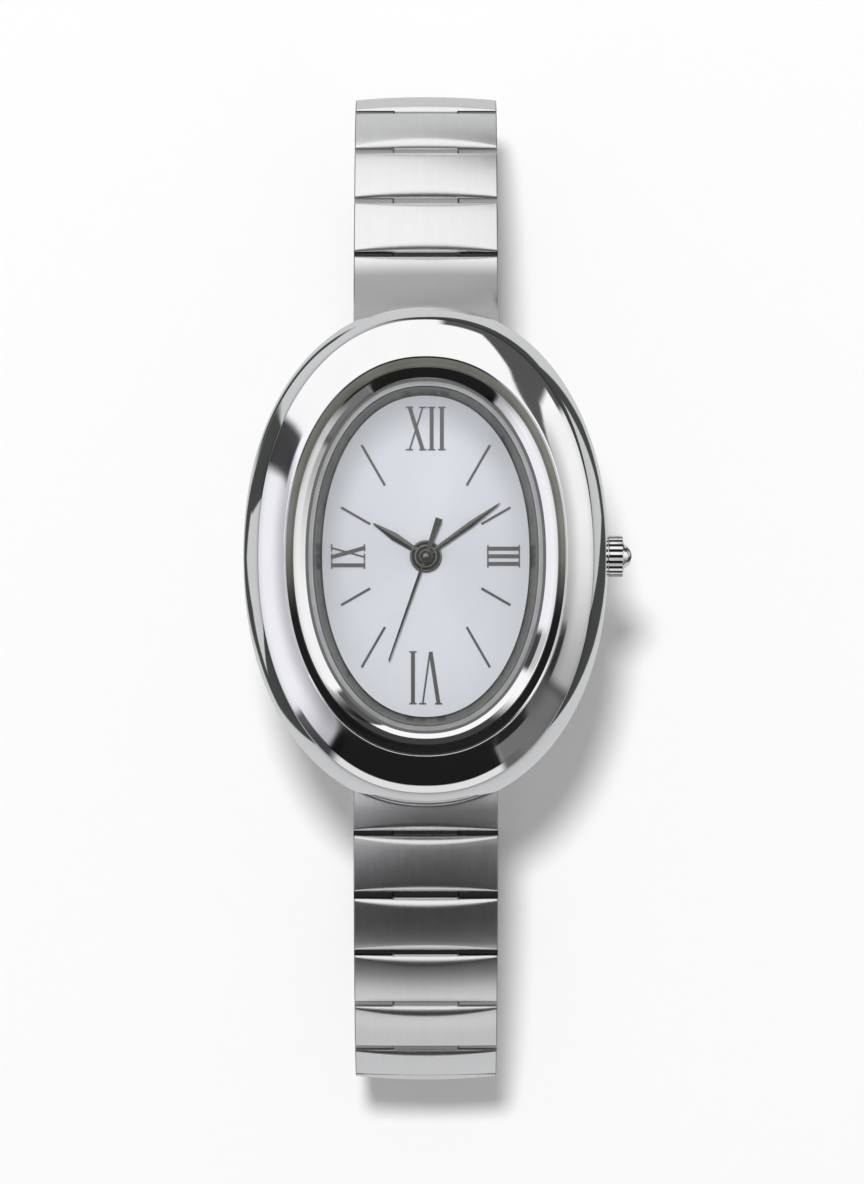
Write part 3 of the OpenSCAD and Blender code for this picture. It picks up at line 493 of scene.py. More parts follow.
def lip_steel(graph):
    """Steel of the bezel's inner lip, painted dark grey as painted shade of the gap between bezel and ring, and
    nearly black at its 6 o'clock end as deeper painted shade.
    """
    place = graph.object_mm()
    x, y, z = graph.split(place)
    grain = graph.noise(place, 0.6, 3.0)
    tone = graph.between(rgba((0.17, 0.175, 0.15)), rgba((0.27, 0.27, 0.235)), grain)
    graph.surface({
        # Painted shade: nearly black towards 6 o'clock
        "Base Color": graph.between(rgba(grey(0.01)), tone, graph.step(y, -4.5, 2.0)),
        "Metallic": 0.35,
        "Specular IOR Level": 0.1,
        "Roughness": 0.25 + grain * 0.1,
    })


def turned_steel(graph):
    """Steel with fine rings from a lathe."""
    place = graph.object_mm()
    x, y, z = graph.split(place)
    radius = graph.length(graph.stretched(place, (1.0, 1.0, 0.0)))
    around = graph.noise(graph.joined(radius * 9.0, x * 0.04, y * 0.04), 1.0, 4.0)
    graph.surface({
        "Base Color": graph.between(rgba("brushed", 0.82), rgba("brushed", 1.08), around),
        "Metallic": 1.0,
        "Roughness": 0.2 + around * 0.16,
        "Normal": graph.bump(around, 0.2, 0.00002),
    })


def silver_dial(graph):
    """Silvered dial with sunray lines, a painted sheen along its length and a painted shadow of the rim towards
    its upper rim.
    """
    place = graph.object_mm()
    x, y, z = graph.split(place)
    angle = x.math("ARCTAN2", x, y)
    rays = graph.noise(graph.joined(angle * 46.0, 0.0, 0.0), 1.0, 4.0, 0.7)
    broad = graph.noise(graph.joined(angle * 1.6, 3.0, 0.0), 1.0, 1.0)
    grain = graph.noise(place, 14.0, 2.0)
    # Painted sheen: brighter along the line from 12 to 6 o'clock
    painted_sheen = angle.math("COSINE", (angle - 0.12) * 2.0)
    tone = rays * 0.4 + broad * 0.45 + grain * 0.15 + painted_sheen * 0.2
    oval = graph.length(graph.stretched(place, (1 / 7.2, 1 / 10.9, 0.0)))
    # Painted shadow of the rim: darker towards the upper rim
    edge = graph.step(oval, 0.72, 1.02) * graph.step(y - x * 0.5, -9.0, 8.0)
    face = graph.between(rgba("dial", 0.9), rgba("dial", 1.13), tone)
    graph.surface({
        "Base Color": graph.between(face, rgba("dial", 0.6), edge * 0.7),
        "Metallic": 0.25,
        "Roughness": 0.32 + rays * 0.14,
        "Normal": graph.bump(rays, 0.2),
    })


def clear_crystal(graph):
    """Flat mineral glass: it shows what is under it, with a faint gloss."""
    smudge = graph.noise(graph.object_mm(), 0.3, 3.0)
    gloss = graph.node("ShaderNodeFresnel", values={"IOR": 1.45})
    share = (gloss * 0.55 + smudge * 0.01).least(1.0)
    graph.glass((0.9, 0.93, 0.95), (0.97, 0.98, 1.0), smudge, 1.0, 0.03, share)


def ground_glass(graph):
    """The bevelled edge of the crystal, which catches more light than its face."""
    smudge = graph.noise(graph.object_mm(), 0.8, 2.0)
    graph.glass((0.48, 0.485, 0.5), (0.58, 0.585, 0.6), smudge, 0.2, 0.25, 0.7 + smudge * 0.15)


def striped_brass(graph):
    """Plate brass with shallow waved stripes."""
    place = graph.object_mm()
    x, y, z = graph.split(place)
    stripe = ((x * 0.8 + y * 0.6) * 4.2).sine()
    fine = graph.noise(graph.stretched(place, (9.0, 1.0, 1.0)), 1.0, 3.0)
    tone = stripe * 0.25 + 0.5 + (fine - 0.5) * 0.4
    graph.surface({
        "Base Color": graph.between(rgba("brass", 0.85), rgba("brass", 1.15), tone),
        "Metallic": 1.0,
        "Roughness": 0.22 + fine * 0.12,
        "Normal": graph.bump(stripe, 0.15),
    })


def copper_wire(graph):
    """A winding of thin enamelled wire."""
    place = graph.object_mm()
    x, y, z = graph.split(place)
    turns = (x * 62.0).sine()
    grain = graph.noise(place, 3.0, 3.0)
    tone = turns * 0.35 + 0.3 + grain * 0.3
    graph.surface({
        "Base Color": graph.between(rgba((0.42, 0.14, 0.05)), rgba((0.78, 0.36, 0.16)), tone),
        "Metallic": 0.85,
        "Roughness": 0.28 + grain * 0.1,
        "Normal": graph.bump(turns, 0.6),
    })


def green_board(graph):
    """A circuit board with faint tracks under its varnish."""
    place = graph.object_mm()
    x, y, z = graph.split(place)
    line = graph.step((y * 9.0).sine(), 0.55, 0.7)
    grain = graph.noise(place, 8.0, 3.0)
    tone = line * 0.7 + grain * 0.3
    graph.surface({
        "Base Color": graph.between(rgba((0.02, 0.12, 0.05)), rgba((0.05, 0.26, 0.11)), tone),
        "Metallic": 0.1,
        "Roughness": 0.3 + grain * 0.15,
    })


# Grained and toned finishes give: two colours, or a colour and its shares; metal; roughness; size of
# the grain per millimetre, its detail, how much it varies the roughness, and its bump
FINISHES = {
    "polished_case": mirror_steel,
    "bezel_lip": lip_steel,
    "inner_ring": ring_steel,
    "crown_land": grained(grey(0.84), grey(0.95), 0.45, 0.2, 4.0, 3.0, 0.08),
    "link_face": brushed_steel,
    # Painted shade for the seams of the links and for their eased edges
    "link_barrel": grained(grey(0.02), (0.05, 0.05, 0.048), 0.6, 0.42, 5.0),
    "pale_barrel": grained(grey(0.3), grey(0.4), 0.3, 0.42, 5.0),
    "link_edge": grained(grey(0.3), grey(0.4), 1.0, 0.3, 3.0, 4.0),
    "satin_back": turned_steel,
    "crystal": clear_crystal,
    "crystal_edge": ground_glass,
    "white_gasket": toned((0.13, 0.13, 0.135), 0.88, 1.12, 0.0, 0.4, 4.0, 4.0),
    "black_rubber": toned(grey(0.03), 0.88, 1.12, 0.0, 0.5, 4.0, 4.0, 0.1, 0.2),
    "dark_ring": toned("ring", 0.8, 1.35, 0.9, 0.16, 1.2),
    "silver_dial": silver_dial,
    # The markers and hands are polished silver painted dark: painted dark reflections
    "dark_print": toned("printed", 0.85, 1.2, 0.75, 0.28, 9.0, 3.0, 0.12),
    "hand_steel": toned("hands", 0.85, 1.2, 1.0, 0.14, 7.0, 3.0, 0.08),
    # Painted shade for grooves and a painted highlight for the crests of the hubs
    "hand_groove": grained((0.025, 0.025, 0.018), (0.05, 0.05, 0.04), 0.6, 0.35, 7.0),
    "hand_crest": grained((0.27, 0.27, 0.225), (0.35, 0.35, 0.3), 1.0, 0.18, 7.0, 3.0, 0.08),
    "bright_steel": grained((0.6, 0.6, 0.62), (0.78, 0.78, 0.8), 1.0, 0.12, 6.0, 4.0),
    "plate_steel": toned((0.62, 0.62, 0.63), 0.88, 1.12, 1.0, 0.25, 3.0, 4.0),
    "plate_brass": striped_brass,
    "wheel_brass": toned((0.8, 0.6, 0.28), 0.88, 1.12, 1.0, 0.16, 5.0, 4.0),
    "copper": copper_wire,
    "green_board": green_board,
    "white_plastic": toned((0.8, 0.8, 0.76), 0.94, 1.06, 0.0, 0.42, 2.0, 4.0, 0.1, 0.1),
}


def dress(node):
    """Gives a kept node the finish of its slot."""
    made = frame["nodes"][node]
    material = finish(SLOT_OF[node])
    for place in made.material_slots:
        place.material = material
    if not made.material_slots:
        made.data.materials.append(material)


# Meshes
def move(bm, offset, verts=None):
    bmesh.ops.translate(bm, vec=offset, verts=verts or bm.verts)


def turn_about(bm, axis, angle):
    bmesh.ops.rotate(bm, cent=(0, 0, 0), matrix=Matrix.Rotation(angle, 3, axis), verts=bm.verts)


def to_metres(bm):
    """Turns a closed mesh in millimetres into one in metres whose faces point outwards."""
    bmesh.ops.recalc_face_normals(bm, faces=bm.faces)
    bmesh.ops.scale(bm, vec=(MM, MM, MM), verts=bm.verts)


def settle(bm, name, node, finishes, angle=35.0):
    """Turns a mesh in millimetres into a piece that stands for a node and rides on its body."""
    to_metres(bm)
    return place_piece(bm, name, node, finishes, angle)


def place_piece(bm, name, node, finishes, angle):
    """Turns a mesh in metres into a piece that stands for a node and rides on its body."""
    mesh = bpy.data.meshes.new(name)
    bm.to_mesh(mesh)
    bm.free()
    if not mesh.polygons:
        raise RuntimeError(f"{name} has no faces")
    mesh.shade_smooth()
    mesh.set_sharp_from_angle(angle=math.radians(angle))
    for item in finishes:
        mesh.materials.append(finish(item))
    piece = bpy.data.objects.new(name, mesh)
    bpy.context.scene.collection.objects.link(piece)
    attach(piece, BODY_OF[node])
    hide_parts(node)
    return piece


def round_edges(piece, width, segments=3, angle=35.0):
    """Eases a piece's sharp edges."""
    ease = piece.modifiers.new("Ease", "BEVEL")
    ease.width = width * MM
    ease.segments = segments
    ease.limit_method = "ANGLE"
    ease.angle_limit = math.radians(angle)
    ease.harden_normals = True
    ease.use_clamp_overlap = True


def oval_point(a, b, turn):
    """Point of the squared oval at a turn in radians."""
    power = 2 / OUTLINE_POWER
    x = math.copysign(abs(math.cos(turn)) ** power, math.cos(turn))
    y = math.copysign(abs(math.sin(turn)) ** power, math.sin(turn))
    return a * x, b * y


def oval_reach(spot, a, b):
    """How far out a point lies: one on the squared oval and less inside it."""
    return (abs(spot.x) / a) ** OUTLINE_POWER + (abs(spot.y) / b) ** OUTLINE_POWER


def add_point(bm, place):
    return bmesh.ops.create_vert(bm, co=place)["vert"][0]


def new_points(drawn):
    """The vertices among what an extrusion made."""
    return [item for item in drawn["geom"] if isinstance(item, bmesh.types.BMVert)]


def skin(loops, closed):
    """Skin through loops of points: a closed ring, or a solid with capped ends."""
    bm = bmesh.new()
    verts = [add_point(bm, point) for point in loops[0]]
    edges = [bm.edges.new((verts[i - 1], verts[i])) for i in range(len(verts))]
    first = list(edges)
    for loop in loops[1:]:
        drawn = set(new_points(bmesh.ops.extrude_edge_only(bm, edges=edges)))
        verts = [next(e.other_vert(v) for e in v.link_edges if e.other_vert(v) in drawn) for v in verts]
        for vert, point in zip(verts, loop):
            vert.co = point
        edges = [bm.edges.get((verts[i - 1], verts[i])) for i in range(len(verts))]
    if closed:
        bmesh.ops.bridge_loops(bm, edges=first + edges)
    else:
        bmesh.ops.contextual_create(bm, geom=first)
        bmesh.ops.contextual_create(bm, geom=edges)
    return bm


def sweep_ovals(rings, sides, closed):
    """Skin through ovals given as half width, half length and height."""
    turns = [2 * math.pi * i / sides for i in range(sides)]
    return skin([[(*oval_point(a, b, turn), z) for turn in turns] for a, b, z in rings], closed)


def turned_shape(bm, profile, steps=72):
    """Adds a shape turned about z from a profile of radius and height that starts and ends on it."""
    verts = [add_point(bm, (r, 0, z)) for r, z in profile]
    edges = [bm.edges.new((verts[i], verts[i + 1])) for i in range(len(verts) - 1)]
    bmesh.ops.spin(bm, geom=verts + edges, cent=(0, 0, 0), axis=(0, 0, 1), angle=2 * math.pi,
                   steps=steps, use_merge=True, use_duplicate=False)
    bmesh.ops.remove_doubles(bm, verts=bm.verts, dist=1e-5)


def arc(start, end, steps):
    """Evenly spaced values from start to end, both included."""
    return [start + (end - start) * i / steps for i in range(steps + 1)]


def baked(piece):
    """Applies a piece's modifiers to its mesh."""
    graph = bpy.context.evaluated_depsgraph_get()
    mesh = bpy.data.meshes.new_from_object(piece.evaluated_get(graph))
    if not mesh.polygons:
        raise RuntimeError(f"{piece.name} was cut away whole")
    piece.modifiers.clear()
    old = piece.data
    piece.data = mesh
    bpy.data.meshes.remove(old)


def cut_with(piece, bm, operation="DIFFERENCE"):
    """Takes a closed shape in millimetres away from a piece, or keeps only what lies inside it."""
    to_metres(bm)
    mesh = bpy.data.meshes.new("cutter")
    bm.to_mesh(mesh)
    bm.free()
    cutter = bpy.data.objects.new("cutter", mesh)
    bpy.context.scene.collection.objects.link(cutter)
    cut = piece.modifiers.new("Cut", "BOOLEAN")
    cut.operation = operation
    cut.solver = "EXACT"
    cut.object = cutter
    bpy.context.view_layer.update()
    baked(piece)
    bpy.data.objects.remove(cutter)
    bpy.data.meshes.remove(mesh)


def box_shape(corner, far):
    """A box between two opposite corners."""
    bm = bmesh.new()
    bmesh.ops.create_cube(bm, size=1.0)
    bmesh.ops.scale(bm, vec=[f - c for c, f in zip(corner, far)], verts=bm.verts)
    move(bm, [(f + c) / 2 for c, f in zip(corner, far)])
    return bm


def add_rod(bm, radii, depth, middle):
    """Adds a capped cone or rod along z with its middle at a height."""
    drawn = bmesh.ops.create_cone(bm, cap_ends=True, segments=64, radius1=radii[0], radius2=radii[1],
                                  depth=depth)
    move(bm, (0, 0, middle), drawn["verts"])


def merged(node):
    """A joined copy of a node's triangles, with its flat faces made whole."""
    bm = bmesh.new()
    bm.from_mesh(frame["nodes"][node].data)
    bmesh.ops.remove_doubles(bm, verts=bm.verts, dist=2e-7)
    bmesh.ops.dissolve_limit(bm, angle_limit=math.radians(0.4), verts=bm.verts, edges=bm.edges)
    return bm


# Links of the bracelet
def link_frame(node, outer):
    """Turn and origin of a link's own frame: its inner pin at the origin and its outer pin along y."""
    inner = Vector(HINGES[node]["pos_m"])
    along = (Vector(outer) - inner).normalized()
    across = Vector((1, 0, 0)) if inner.y > 0 else Vector((-1, 0, 0))
    up = across.cross(along)
    return Matrix((across, along, up)), inner


def map_brushing(mesh, turn, origin):
    """Writes each corner's place across and along the brushing, in centimetres, to the piece's map."""
    layer = mesh.uv_layers.new(name="Brush")
    for face in mesh.polygons:
        on_side = abs((turn @ face.normal).x) > 0.8
        for corner in face.loop_indices:
            spot = (turn @ (mesh.vertices[mesh.loops[corner].vertex_index].co - origin)) / MM
            across = spot.z + 3.7 if on_side else spot.x
            layer.uv[corner].vector = (across / 10, spot.y / 10)


def high_along(node, turn, origin):
    """How far a link reaches along its own length, in millimetres."""
    return max((turn @ (v.co - origin)).y for v in frame["nodes"][node].data.vertices) / MM


def crown_height(x):
    """Height of a link's top over its pins, across the band."""
    return LINK_RISE - INSIDE - LINK_CROWN * (x / BAND_HALF) ** 2


def curl(edge, side, width, top, height):
    """Quarter oval from a link's end up to its top, towards +y where side is 1."""
    return [(edge + side * width * (1 - math.cos(t)), top - height + height * math.sin(t))
            for t in arc(0, math.pi / 2, 9)]


def link_envelope(near, far, rolled_near):
    """Outline of a link between two seams: its ends curl down in a lens shape, its sides are eased."""
    eased = [(BAND_HALF - 0.015, 0.08), (BAND_HALF - 0.03, 0.035)]
    flat = [(BAND_HALF * FLAT_SHARE * i / 14, 0.0) for i in range(-14, 15)]
    stations = [(-x, ease) for x, ease in eased] + flat + eased[::-1]
    middle = (near + far) / 2
    half = (far - near) / 2
    loops = []
    for x, ease in stations:
        top = crown_height(x) - ease
        lens = max(0.1, (crown_height(x) - LENS_Z) / LENS_RISE)
        width = EDGE_WIDTH + LENS_WIDTH * lens
        height = min(EDGE_DEPTH + LENS_DEPTH * lens, top - SHELF_Z - INSIDE)
        start = near + ease
        end = far - ease
        if rolled_near:
            points = [(-PAST_END, LINK_UNDER), (-PAST_END, SHELF_Z), (start, SHELF_Z)]
            points += curl(start, 1, width, top, height)
        else:
            points = [(-PAST_END, LINK_UNDER), (-PAST_END, top), (0.0, top)]
        inner = points[-1][0]
        outer = end - width
        points += [(inner + (outer - inner) * t, top) for t in arc(0, 1, 8)[1:-1]]
        points += curl(end, -1, width, top, height)[::-1]
        points += [(end, SHELF_Z), (far + PAST_END, SHELF_Z), (far + PAST_END, LINK_UNDER)]
        loop = []
        for y, z in points:
            off = max(-1.0, min(1.0, (y - middle) / half))
            drop = TOP_DROP * off * off
            if not rolled_near:
                drop = min(END_FALL_MOST, END_FALL * max(0.0, far - END_FALL_LENGTH - y) ** 2)
            loop.append((x, y, max(z - drop, SHELF_Z + 0.005) if z > SHELF_Z + 0.01 else z))
        loops.append(loop)
    return skin(loops, False)


def darken_barrels(piece, turn, origin, near, far, near_barrel, far_barrel):
    """Gives painted shade to the barrels at the bottom of each seam, to the gaps and to the steep lens ends, and
    grey painted shade to the eased edges.
    """
    for face in piece.data.polygons:
        normal = turn @ face.normal
        spot = (turn @ (face.center - origin)) / MM
        in_gap = spot.z > 0 and (spot.y < near + 0.02 or spot.y > far - 0.02)
        in_seam = 0 < spot.z < 0.8 and (spot.y < near + 0.5 or spot.y > far - 0.5)
        on_barrel = in_seam and abs(spot.x) < BAND_HALF - 0.1
        steep = spot.z > 0.5 and abs(normal.y) > 0.5 and normal.z < 0.3
        on_side = abs(normal.x) > 0.7 and abs(spot.x) > BAND_HALF - 0.7
        if abs(normal.x) > 0.35 and spot.z > 0.5:
            face.material_index = EDGE
        elif on_side:
            face.material_index = MAIN
        elif steep or in_gap or on_barrel:
            face.material_index = near_barrel if spot.y < (near + far) / 2 else far_barrel


# Operators, one for each piece or group of like pieces
class WATCH_OT_case(bpy.types.Operator):
    """Makes the mirror-polished case with its domed bezel and inner ring"""

    bl_idname = "watch.case"
    bl_label = "Case"

    def execute(self, context):
        sizes = context.scene.watch_case
        bezel = sizes.bezel / MM
        lip = sizes.lip / MM
        middle_z = HEAD_Z + WIDEST_Z
        rings = []
        for t in arc(math.pi / 2, 0, 14)[:-1]:
            inset = FOOT_INSET * (1 - math.cos(t))
            rings.append((CASE_A - inset, CASE_B - inset, middle_z - (WIDEST_Z - FOOT_Z) * math.sin(t)))
        dome = CASE_TOP - middle_z
        for t in arc(0, math.pi / 2, 40):
            inset = bezel * (1 - math.cos(t))
            height = dome * math.sin(t)
            rings.append((CASE_A - inset, CASE_B - inset * sizes.stretch, middle_z + height))
        for t in arc(0, math.pi / 2, 10)[1:]:
            inset = bezel + lip * math.sin(t)
            drop = lip * (1 - math.cos(t))
            rings.append((CASE_A - inset, CASE_B - inset * sizes.stretch, CASE_TOP - drop))
        wall_a, wall_b, wall_z = rings[-1]
        for t in arc(0, 1, 9)[1:]:
            a = wall_a + (BORE_A - wall_a) * t
            b = wall_b + (BORE_B - wall_b) * t
            rings.append((a, b, wall_z - (wall_z - CRYSTAL_TOP) * t ** RING_DIP))
        rings += [
            (BORE_A, BORE_B, DIAL_TOP),
            (CAVITY_A, CAVITY_B, DIAL_TOP),
            (CAVITY_A, CAVITY_B, HEAD_Z + BACK_SEAT),
            (BACK_A, BACK_B, HEAD_Z + BACK_SEAT),
            (BACK_A, BACK_B, HEAD_Z + FOOT_Z),
        ]
        bm = sweep_ovals(rings, sizes.sides, True)
        ring_foot = CRYSTAL_TOP + RING_LINE * (wall_z - CRYSTAL_TOP)
        for face in bm.faces:
            spot = face.calc_center_median()
            reach = oval_reach(spot, CASE_A - bezel, CASE_B - bezel * sizes.stretch)
            if reach < 0.99 and wall_z - 0.001 < spot.z < CASE_TOP - 0.008:
                face.material_index = LIP
            elif reach < 0.99 and ring_foot < spot.z < wall_z:
                face.material_index = INNER_RING
            # The bezel's crest towards 6 o'clock takes the inner ring's painted dark reflection
            elif reach < 0.9995 and spot.z > wall_z and spot.y < PAINTED_DARK_CREST_Y:
                face.material_index = INNER_RING
        finishes = ("polished_case", "bezel_lip", "inner_ring")
        case = settle(bm, "Housing", "case_body", finishes, CASE_SHARP)
        for side in (-1, 1):
            near = side * (CASE_B - BAR_INSET - POCKET_IN)
            far = side * (CASE_B + 1)
            corner = (-POCKET_HALF, min(near, far), HEAD_Z - 1)
            cut_with(case, box_shape(corner, (POCKET_HALF, max(near, far), HEAD_Z + POCKET_TOP)))
        bore = bmesh.new()
        add_rod(bore, (STEM_BORE_R, STEM_BORE_R), CASE_A - CAVITY_A + 2, 0)
        turn_about(bore, "Y", math.pi / 2)
        move(bore, ((CAVITY_A + CASE_A) / 2, 0, STEM_Z))
        cut_with(case, bore)
        case.data.set_sharp_from_angle(angle=math.radians(CASE_SHARP))
        return {"FINISHED"}


class WATCH_OT_crystal(bpy.types.Operator):
    """Makes the crystal with its ground edge, its gasket and the dark sloped ring"""

    bl_idname = "watch.crystal"
    bl_label = "Crystal and ring"

    def execute(self, context):
        sizes = context.scene.watch_case
        window_a = CRYSTAL_A - CRYSTAL_BEVEL
        window_b = CRYSTAL_B - CRYSTAL_BEVEL
        bm = sweep_ovals([
            (CRYSTAL_A, CRYSTAL_B, CRYSTAL_UNDER),
            (CRYSTAL_A, CRYSTAL_B, CRYSTAL_TOP - CRYSTAL_SIDE),
            (CRYSTAL_A - 0.03, CRYSTAL_B - 0.03, CRYSTAL_TOP - CRYSTAL_SIDE + 0.03),
            (window_a + 0.03, window_b + 0.03, CRYSTAL_TOP - 0.01),
            (window_a, window_b, CRYSTAL_TOP),
        ], sizes.sides, False)
        for face in bm.faces:
            if CRYSTAL_UNDER + 0.2 < face.calc_center_median().z < CRYSTAL_TOP - 0.001:
                face.material_index = GROUND_EDGE
        settle(bm, "Crystal", "crystal", ("crystal", "crystal_edge"), 20.0)
        bm = sweep_ovals([
            (BORE_A, BORE_B, CRYSTAL_UNDER),
            (BORE_A, BORE_B, CRYSTAL_TOP - CRYSTAL_SIDE),
            (BORE_A - 0.05, BORE_B - 0.05, CRYSTAL_TOP - GASKET_DROP),
            (CRYSTAL_A, CRYSTAL_B, CRYSTAL_TOP - GASKET_DROP),
            (CRYSTAL_A, CRYSTAL_B, CRYSTAL_UNDER),
        ], sizes.sides, True)
        settle(bm, "CrystalGasket", "crystal_gasket", ("white_gasket",))
        slope = sizes.rehaut / MM
        run = slope - REHAUT_LIP
        rings = [(window_a - slope, window_b - slope, DIAL_TOP)]
        for t in arc(0, 1, 5)[1:]:
            lift = REHAUT_RISE * (0.55 * t + 0.45 * t * t)
            rings.append((window_a - slope + run * t, window_b - slope + run * t, DIAL_TOP + lift))
        rings += [
            (window_a, window_b, CRYSTAL_UNDER),
            (BORE_A, BORE_B, CRYSTAL_UNDER),
            (BORE_A, BORE_B, DIAL_TOP),
        ]
        settle(sweep_ovals(rings, sizes.sides, True), "SlopedRing", "rehaut_ring", ("dark_ring",))
        return {"FINISHED"}


class WATCH_OT_dial(bpy.types.Operator):
    """Gives the dial its sunray finish and the numerals and lines their print"""

    bl_idname = "watch.dial"
    bl_label = "Dial"

    def execute(self, context):
        dress("dial")
        # The numerals and lines are polished silver painted dark, a painted dark reflection
        place_piece(merged("dial_markers"), "Numerals", "dial_markers", ("dark_print",), 30.0)
        return {"FINISHED"}


def hand_blade(bm, outline, ridge, lift):
    """Adds a blade with a ridge along its middle: outline and ridge points as across and along."""
    verts = []
    for x, y in outline:
        verts += [add_point(bm, (x, y, 0)), add_point(bm, (x, y, lift))]
    verts += [add_point(bm, (x, y, HAND_THICK)) for x, y in ridge]
    bmesh.ops.convex_hull(bm, input=verts)


def add_hub(bm, profile, finish_at):
    """Adds a turned hub; each face's finish depends on its distance from the middle and its height."""
    first = len(bm.faces)
    turned_shape(bm, profile)
    bm.faces.ensure_lookup_table()
    for face in bm.faces[first:]:
        spot = face.calc_center_median()
        face.material_index = finish_at(math.hypot(spot.x, spot.y), spot.z)


def ringed_hub(bm, radius, top, foot_r, foot):
    """Adds a hub with a half-round rim, a groove inside it and a pipe down to its foot; the rim's top takes a
    painted highlight and the rest painted shade.
    """
    inner = radius - 2 * HUB_RIM
    profile = [(0, foot), (foot_r, foot), (foot_r, 0), (radius - 0.02, 0)]
    for t in arc(0, math.pi, 10):
        profile.append((radius + HUB_RIM * (math.cos(t) - 1), top + HUB_RIM * (math.sin(t) - 1)))
    cap = inner - HUB_GROOVE
    profile += [(cap, top - 0.1), (cap - 0.02, top - 0.05), (0, top - 0.03)]

    def finish_at(reach, height):
        return CREST if inner + 0.02 < reach < radius - 0.03 and height > top - 0.05 else GROOVE

    add_hub(bm, profile, finish_at)


def small_hub_finish(reach, height):
    """Finish of the second hand's hub: a painted highlight on its tip, painted shade in its grooves and polished
    steps between them.
    """
    if reach < 0.16 and height > 0:
        return CREST
    return GROOVE if 0.22 < reach < 0.37 or reach > 0.48 else MAIN


class WATCH_OT_hands(bpy.types.Operator):
    """Makes the ridged leaf hands and the thin second hand with its flared tail"""

    bl_idname = "watch.hands"
    bl_label = "Hands"

    # Hand steel, painted shade in the grooves and a painted highlight on the crests
    finishes = ("hand_steel", "hand_groove", "hand_crest")

    def execute(self, context):
        sizes = context.scene.watch_hands
        hour = sizes.hour / MM
        minute = sizes.minute / MM
        self.leaf("hour_hand", "HourHand", hour, sizes.hour_angle, (0.15, 0.28, 0.07), 1.1, 0.12)
        self.leaf("minute_hand", "MinuteHand", minute, sizes.minute_angle, (0.13, 0.21, 0.06), 0.8, 0.1)
        self.needle(sizes.second / MM, sizes.tail / MM, sizes.second_angle)
        return {"FINISHED"}

    def leaf(self, node, name, length, angle, halves, radius, hub_top):
        """A leaf hand, whose half widths are given at its root, at its broadest and near its tip."""
        root, broad, tip = halves
        base = high(node)[2] - HAND_THICK
        bm = bmesh.new()
        right = [(broad, length * 0.6), (tip, length * 0.96)]
        left = [(-x, y) for x, y in reversed(right)]
        outline = [(-root, 0), (root, 0), *right, (0, length), *left]
        hand_blade(bm, outline, [(0, 0), (0, length * 0.6), (0, length * 0.97)], 0.03)
        turn_about(bm, "Z", -angle)
        ringed_hub(bm, radius, hub_top, radius * 0.62, low(node)[2] - base)
        move(bm, (0, 0, base))
        settle(bm, name, node, self.finishes, HAND_SHARP)

    def needle(self, length, tail, angle):
        """The second hand: a thin needle, a flared tail and a stepped hub with a pointed cap."""
        root, tip, flare = 0.11, 0.05, 0.25
        base = low("second_hand")[2] + 0.1
        cap = high("second_hand")[2] - base
        bm = bmesh.new()
        outline = [(-root, 0), (root, 0), (tip, length), (-tip, length)]
        hand_blade(bm, outline, [(0, 0), (0, length - 0.05)], 0.04)
        outline = [(-root, 0), (root, 0), (flare, -tail), (-flare, -tail)]
        hand_blade(bm, outline, [(0, 0), (0, -tail + 0.1)], 0.04)
        turn_about(bm, "Z", -angle)
        profile = [(0, -0.1), (0.3, -0.1), (0.3, -0.02), (0.47, -0.02), (0.5, 0.01), (0.5, 0.08),
                   (0.46, 0.12), (0.4, 0.13), (0.35, 0.09), (0.27, 0.09), (0.24, cap - 0.1),
                   (0.18, cap - 0.04), (0.09, cap - 0.01), (0, cap)]
        add_hub(bm, profile, small_hub_finish)
        move(bm, (0, 0, base))
        settle(bm, "SecondHand", "second_hand", self.finishes, HAND_SHARP)


class WATCH_OT_crown(bpy.types.Operator):
    """Makes the fluted crown with its domed end"""

    bl_idname = "watch.crown"
    bl_label = "Crown"

    def execute(self, context):
        end, radius = high("crown")[:2]
        inner_end = CASE_A + CROWN_GAP
        bm = bmesh.new()
        loop = bmesh.ops.create_circle(bm, segments=4 * FLUTES, radius=radius)["verts"]
        for vert in loop[2::4]:
            vert.co *= (radius - FLUTE_DEPTH) / radius
        bottom = bmesh.ops.contextual_create(bm, geom=list(bm.edges))["faces"]
        drawn = bmesh.ops.extrude_face_region(bm, geom=bottom)
        move(bm, (0, 0, CROWN_LENGTH), new_points(drawn))
        for face in bm.faces:
            spot = face.calc_center_median()
            # The flutes take the groove's painted shade
            if 0.01 < spot.z < CROWN_LENGTH - 0.01:
                in_flute = math.hypot(spot.x, spot.y) < radius - FLUTE_DEPTH * 0.3
                face.material_index = GROOVE if in_flute else CROWN_LAND
        rims = [e for e in bm.edges if abs(e.verts[0].co.z - e.verts[1].co.z) < 1e-6]
        bmesh.ops.bevel(bm, geom=rims, offset=CROWN_EDGE, offset_type="OFFSET", affect="EDGES",
                        segments=3, profile=0.5, material=-1, clamp_overlap=True)
        dome = bmesh.ops.create_uvsphere(bm, u_segments=48, v_segments=32, radius=DOME_R)["verts"]
        dome_height = end - inner_end - CROWN_LENGTH + DOME_SUNK
        bmesh.ops.scale(bm, vec=(1, 1, dome_height / DOME_R), verts=dome)
        move(bm, (0, 0, CROWN_LENGTH - DOME_SUNK), dome)
        add_rod(bm, COLLAR_R, COLLAR_DEPTH, CROWN_LENGTH + COLLAR_UP)
        add_rod(bm, (NECK_R, NECK_R), NECK_DEPTH, NECK_IN - NECK_DEPTH / 2)
        turn_about(bm, "Y", math.pi / 2)
        move(bm, (inner_end, 0, STEM_Z))
        settle(bm, "WindingKnob", "crown", ("polished_case", "hand_groove", "crown_land"), 40.0)
        return {"FINISHED"}


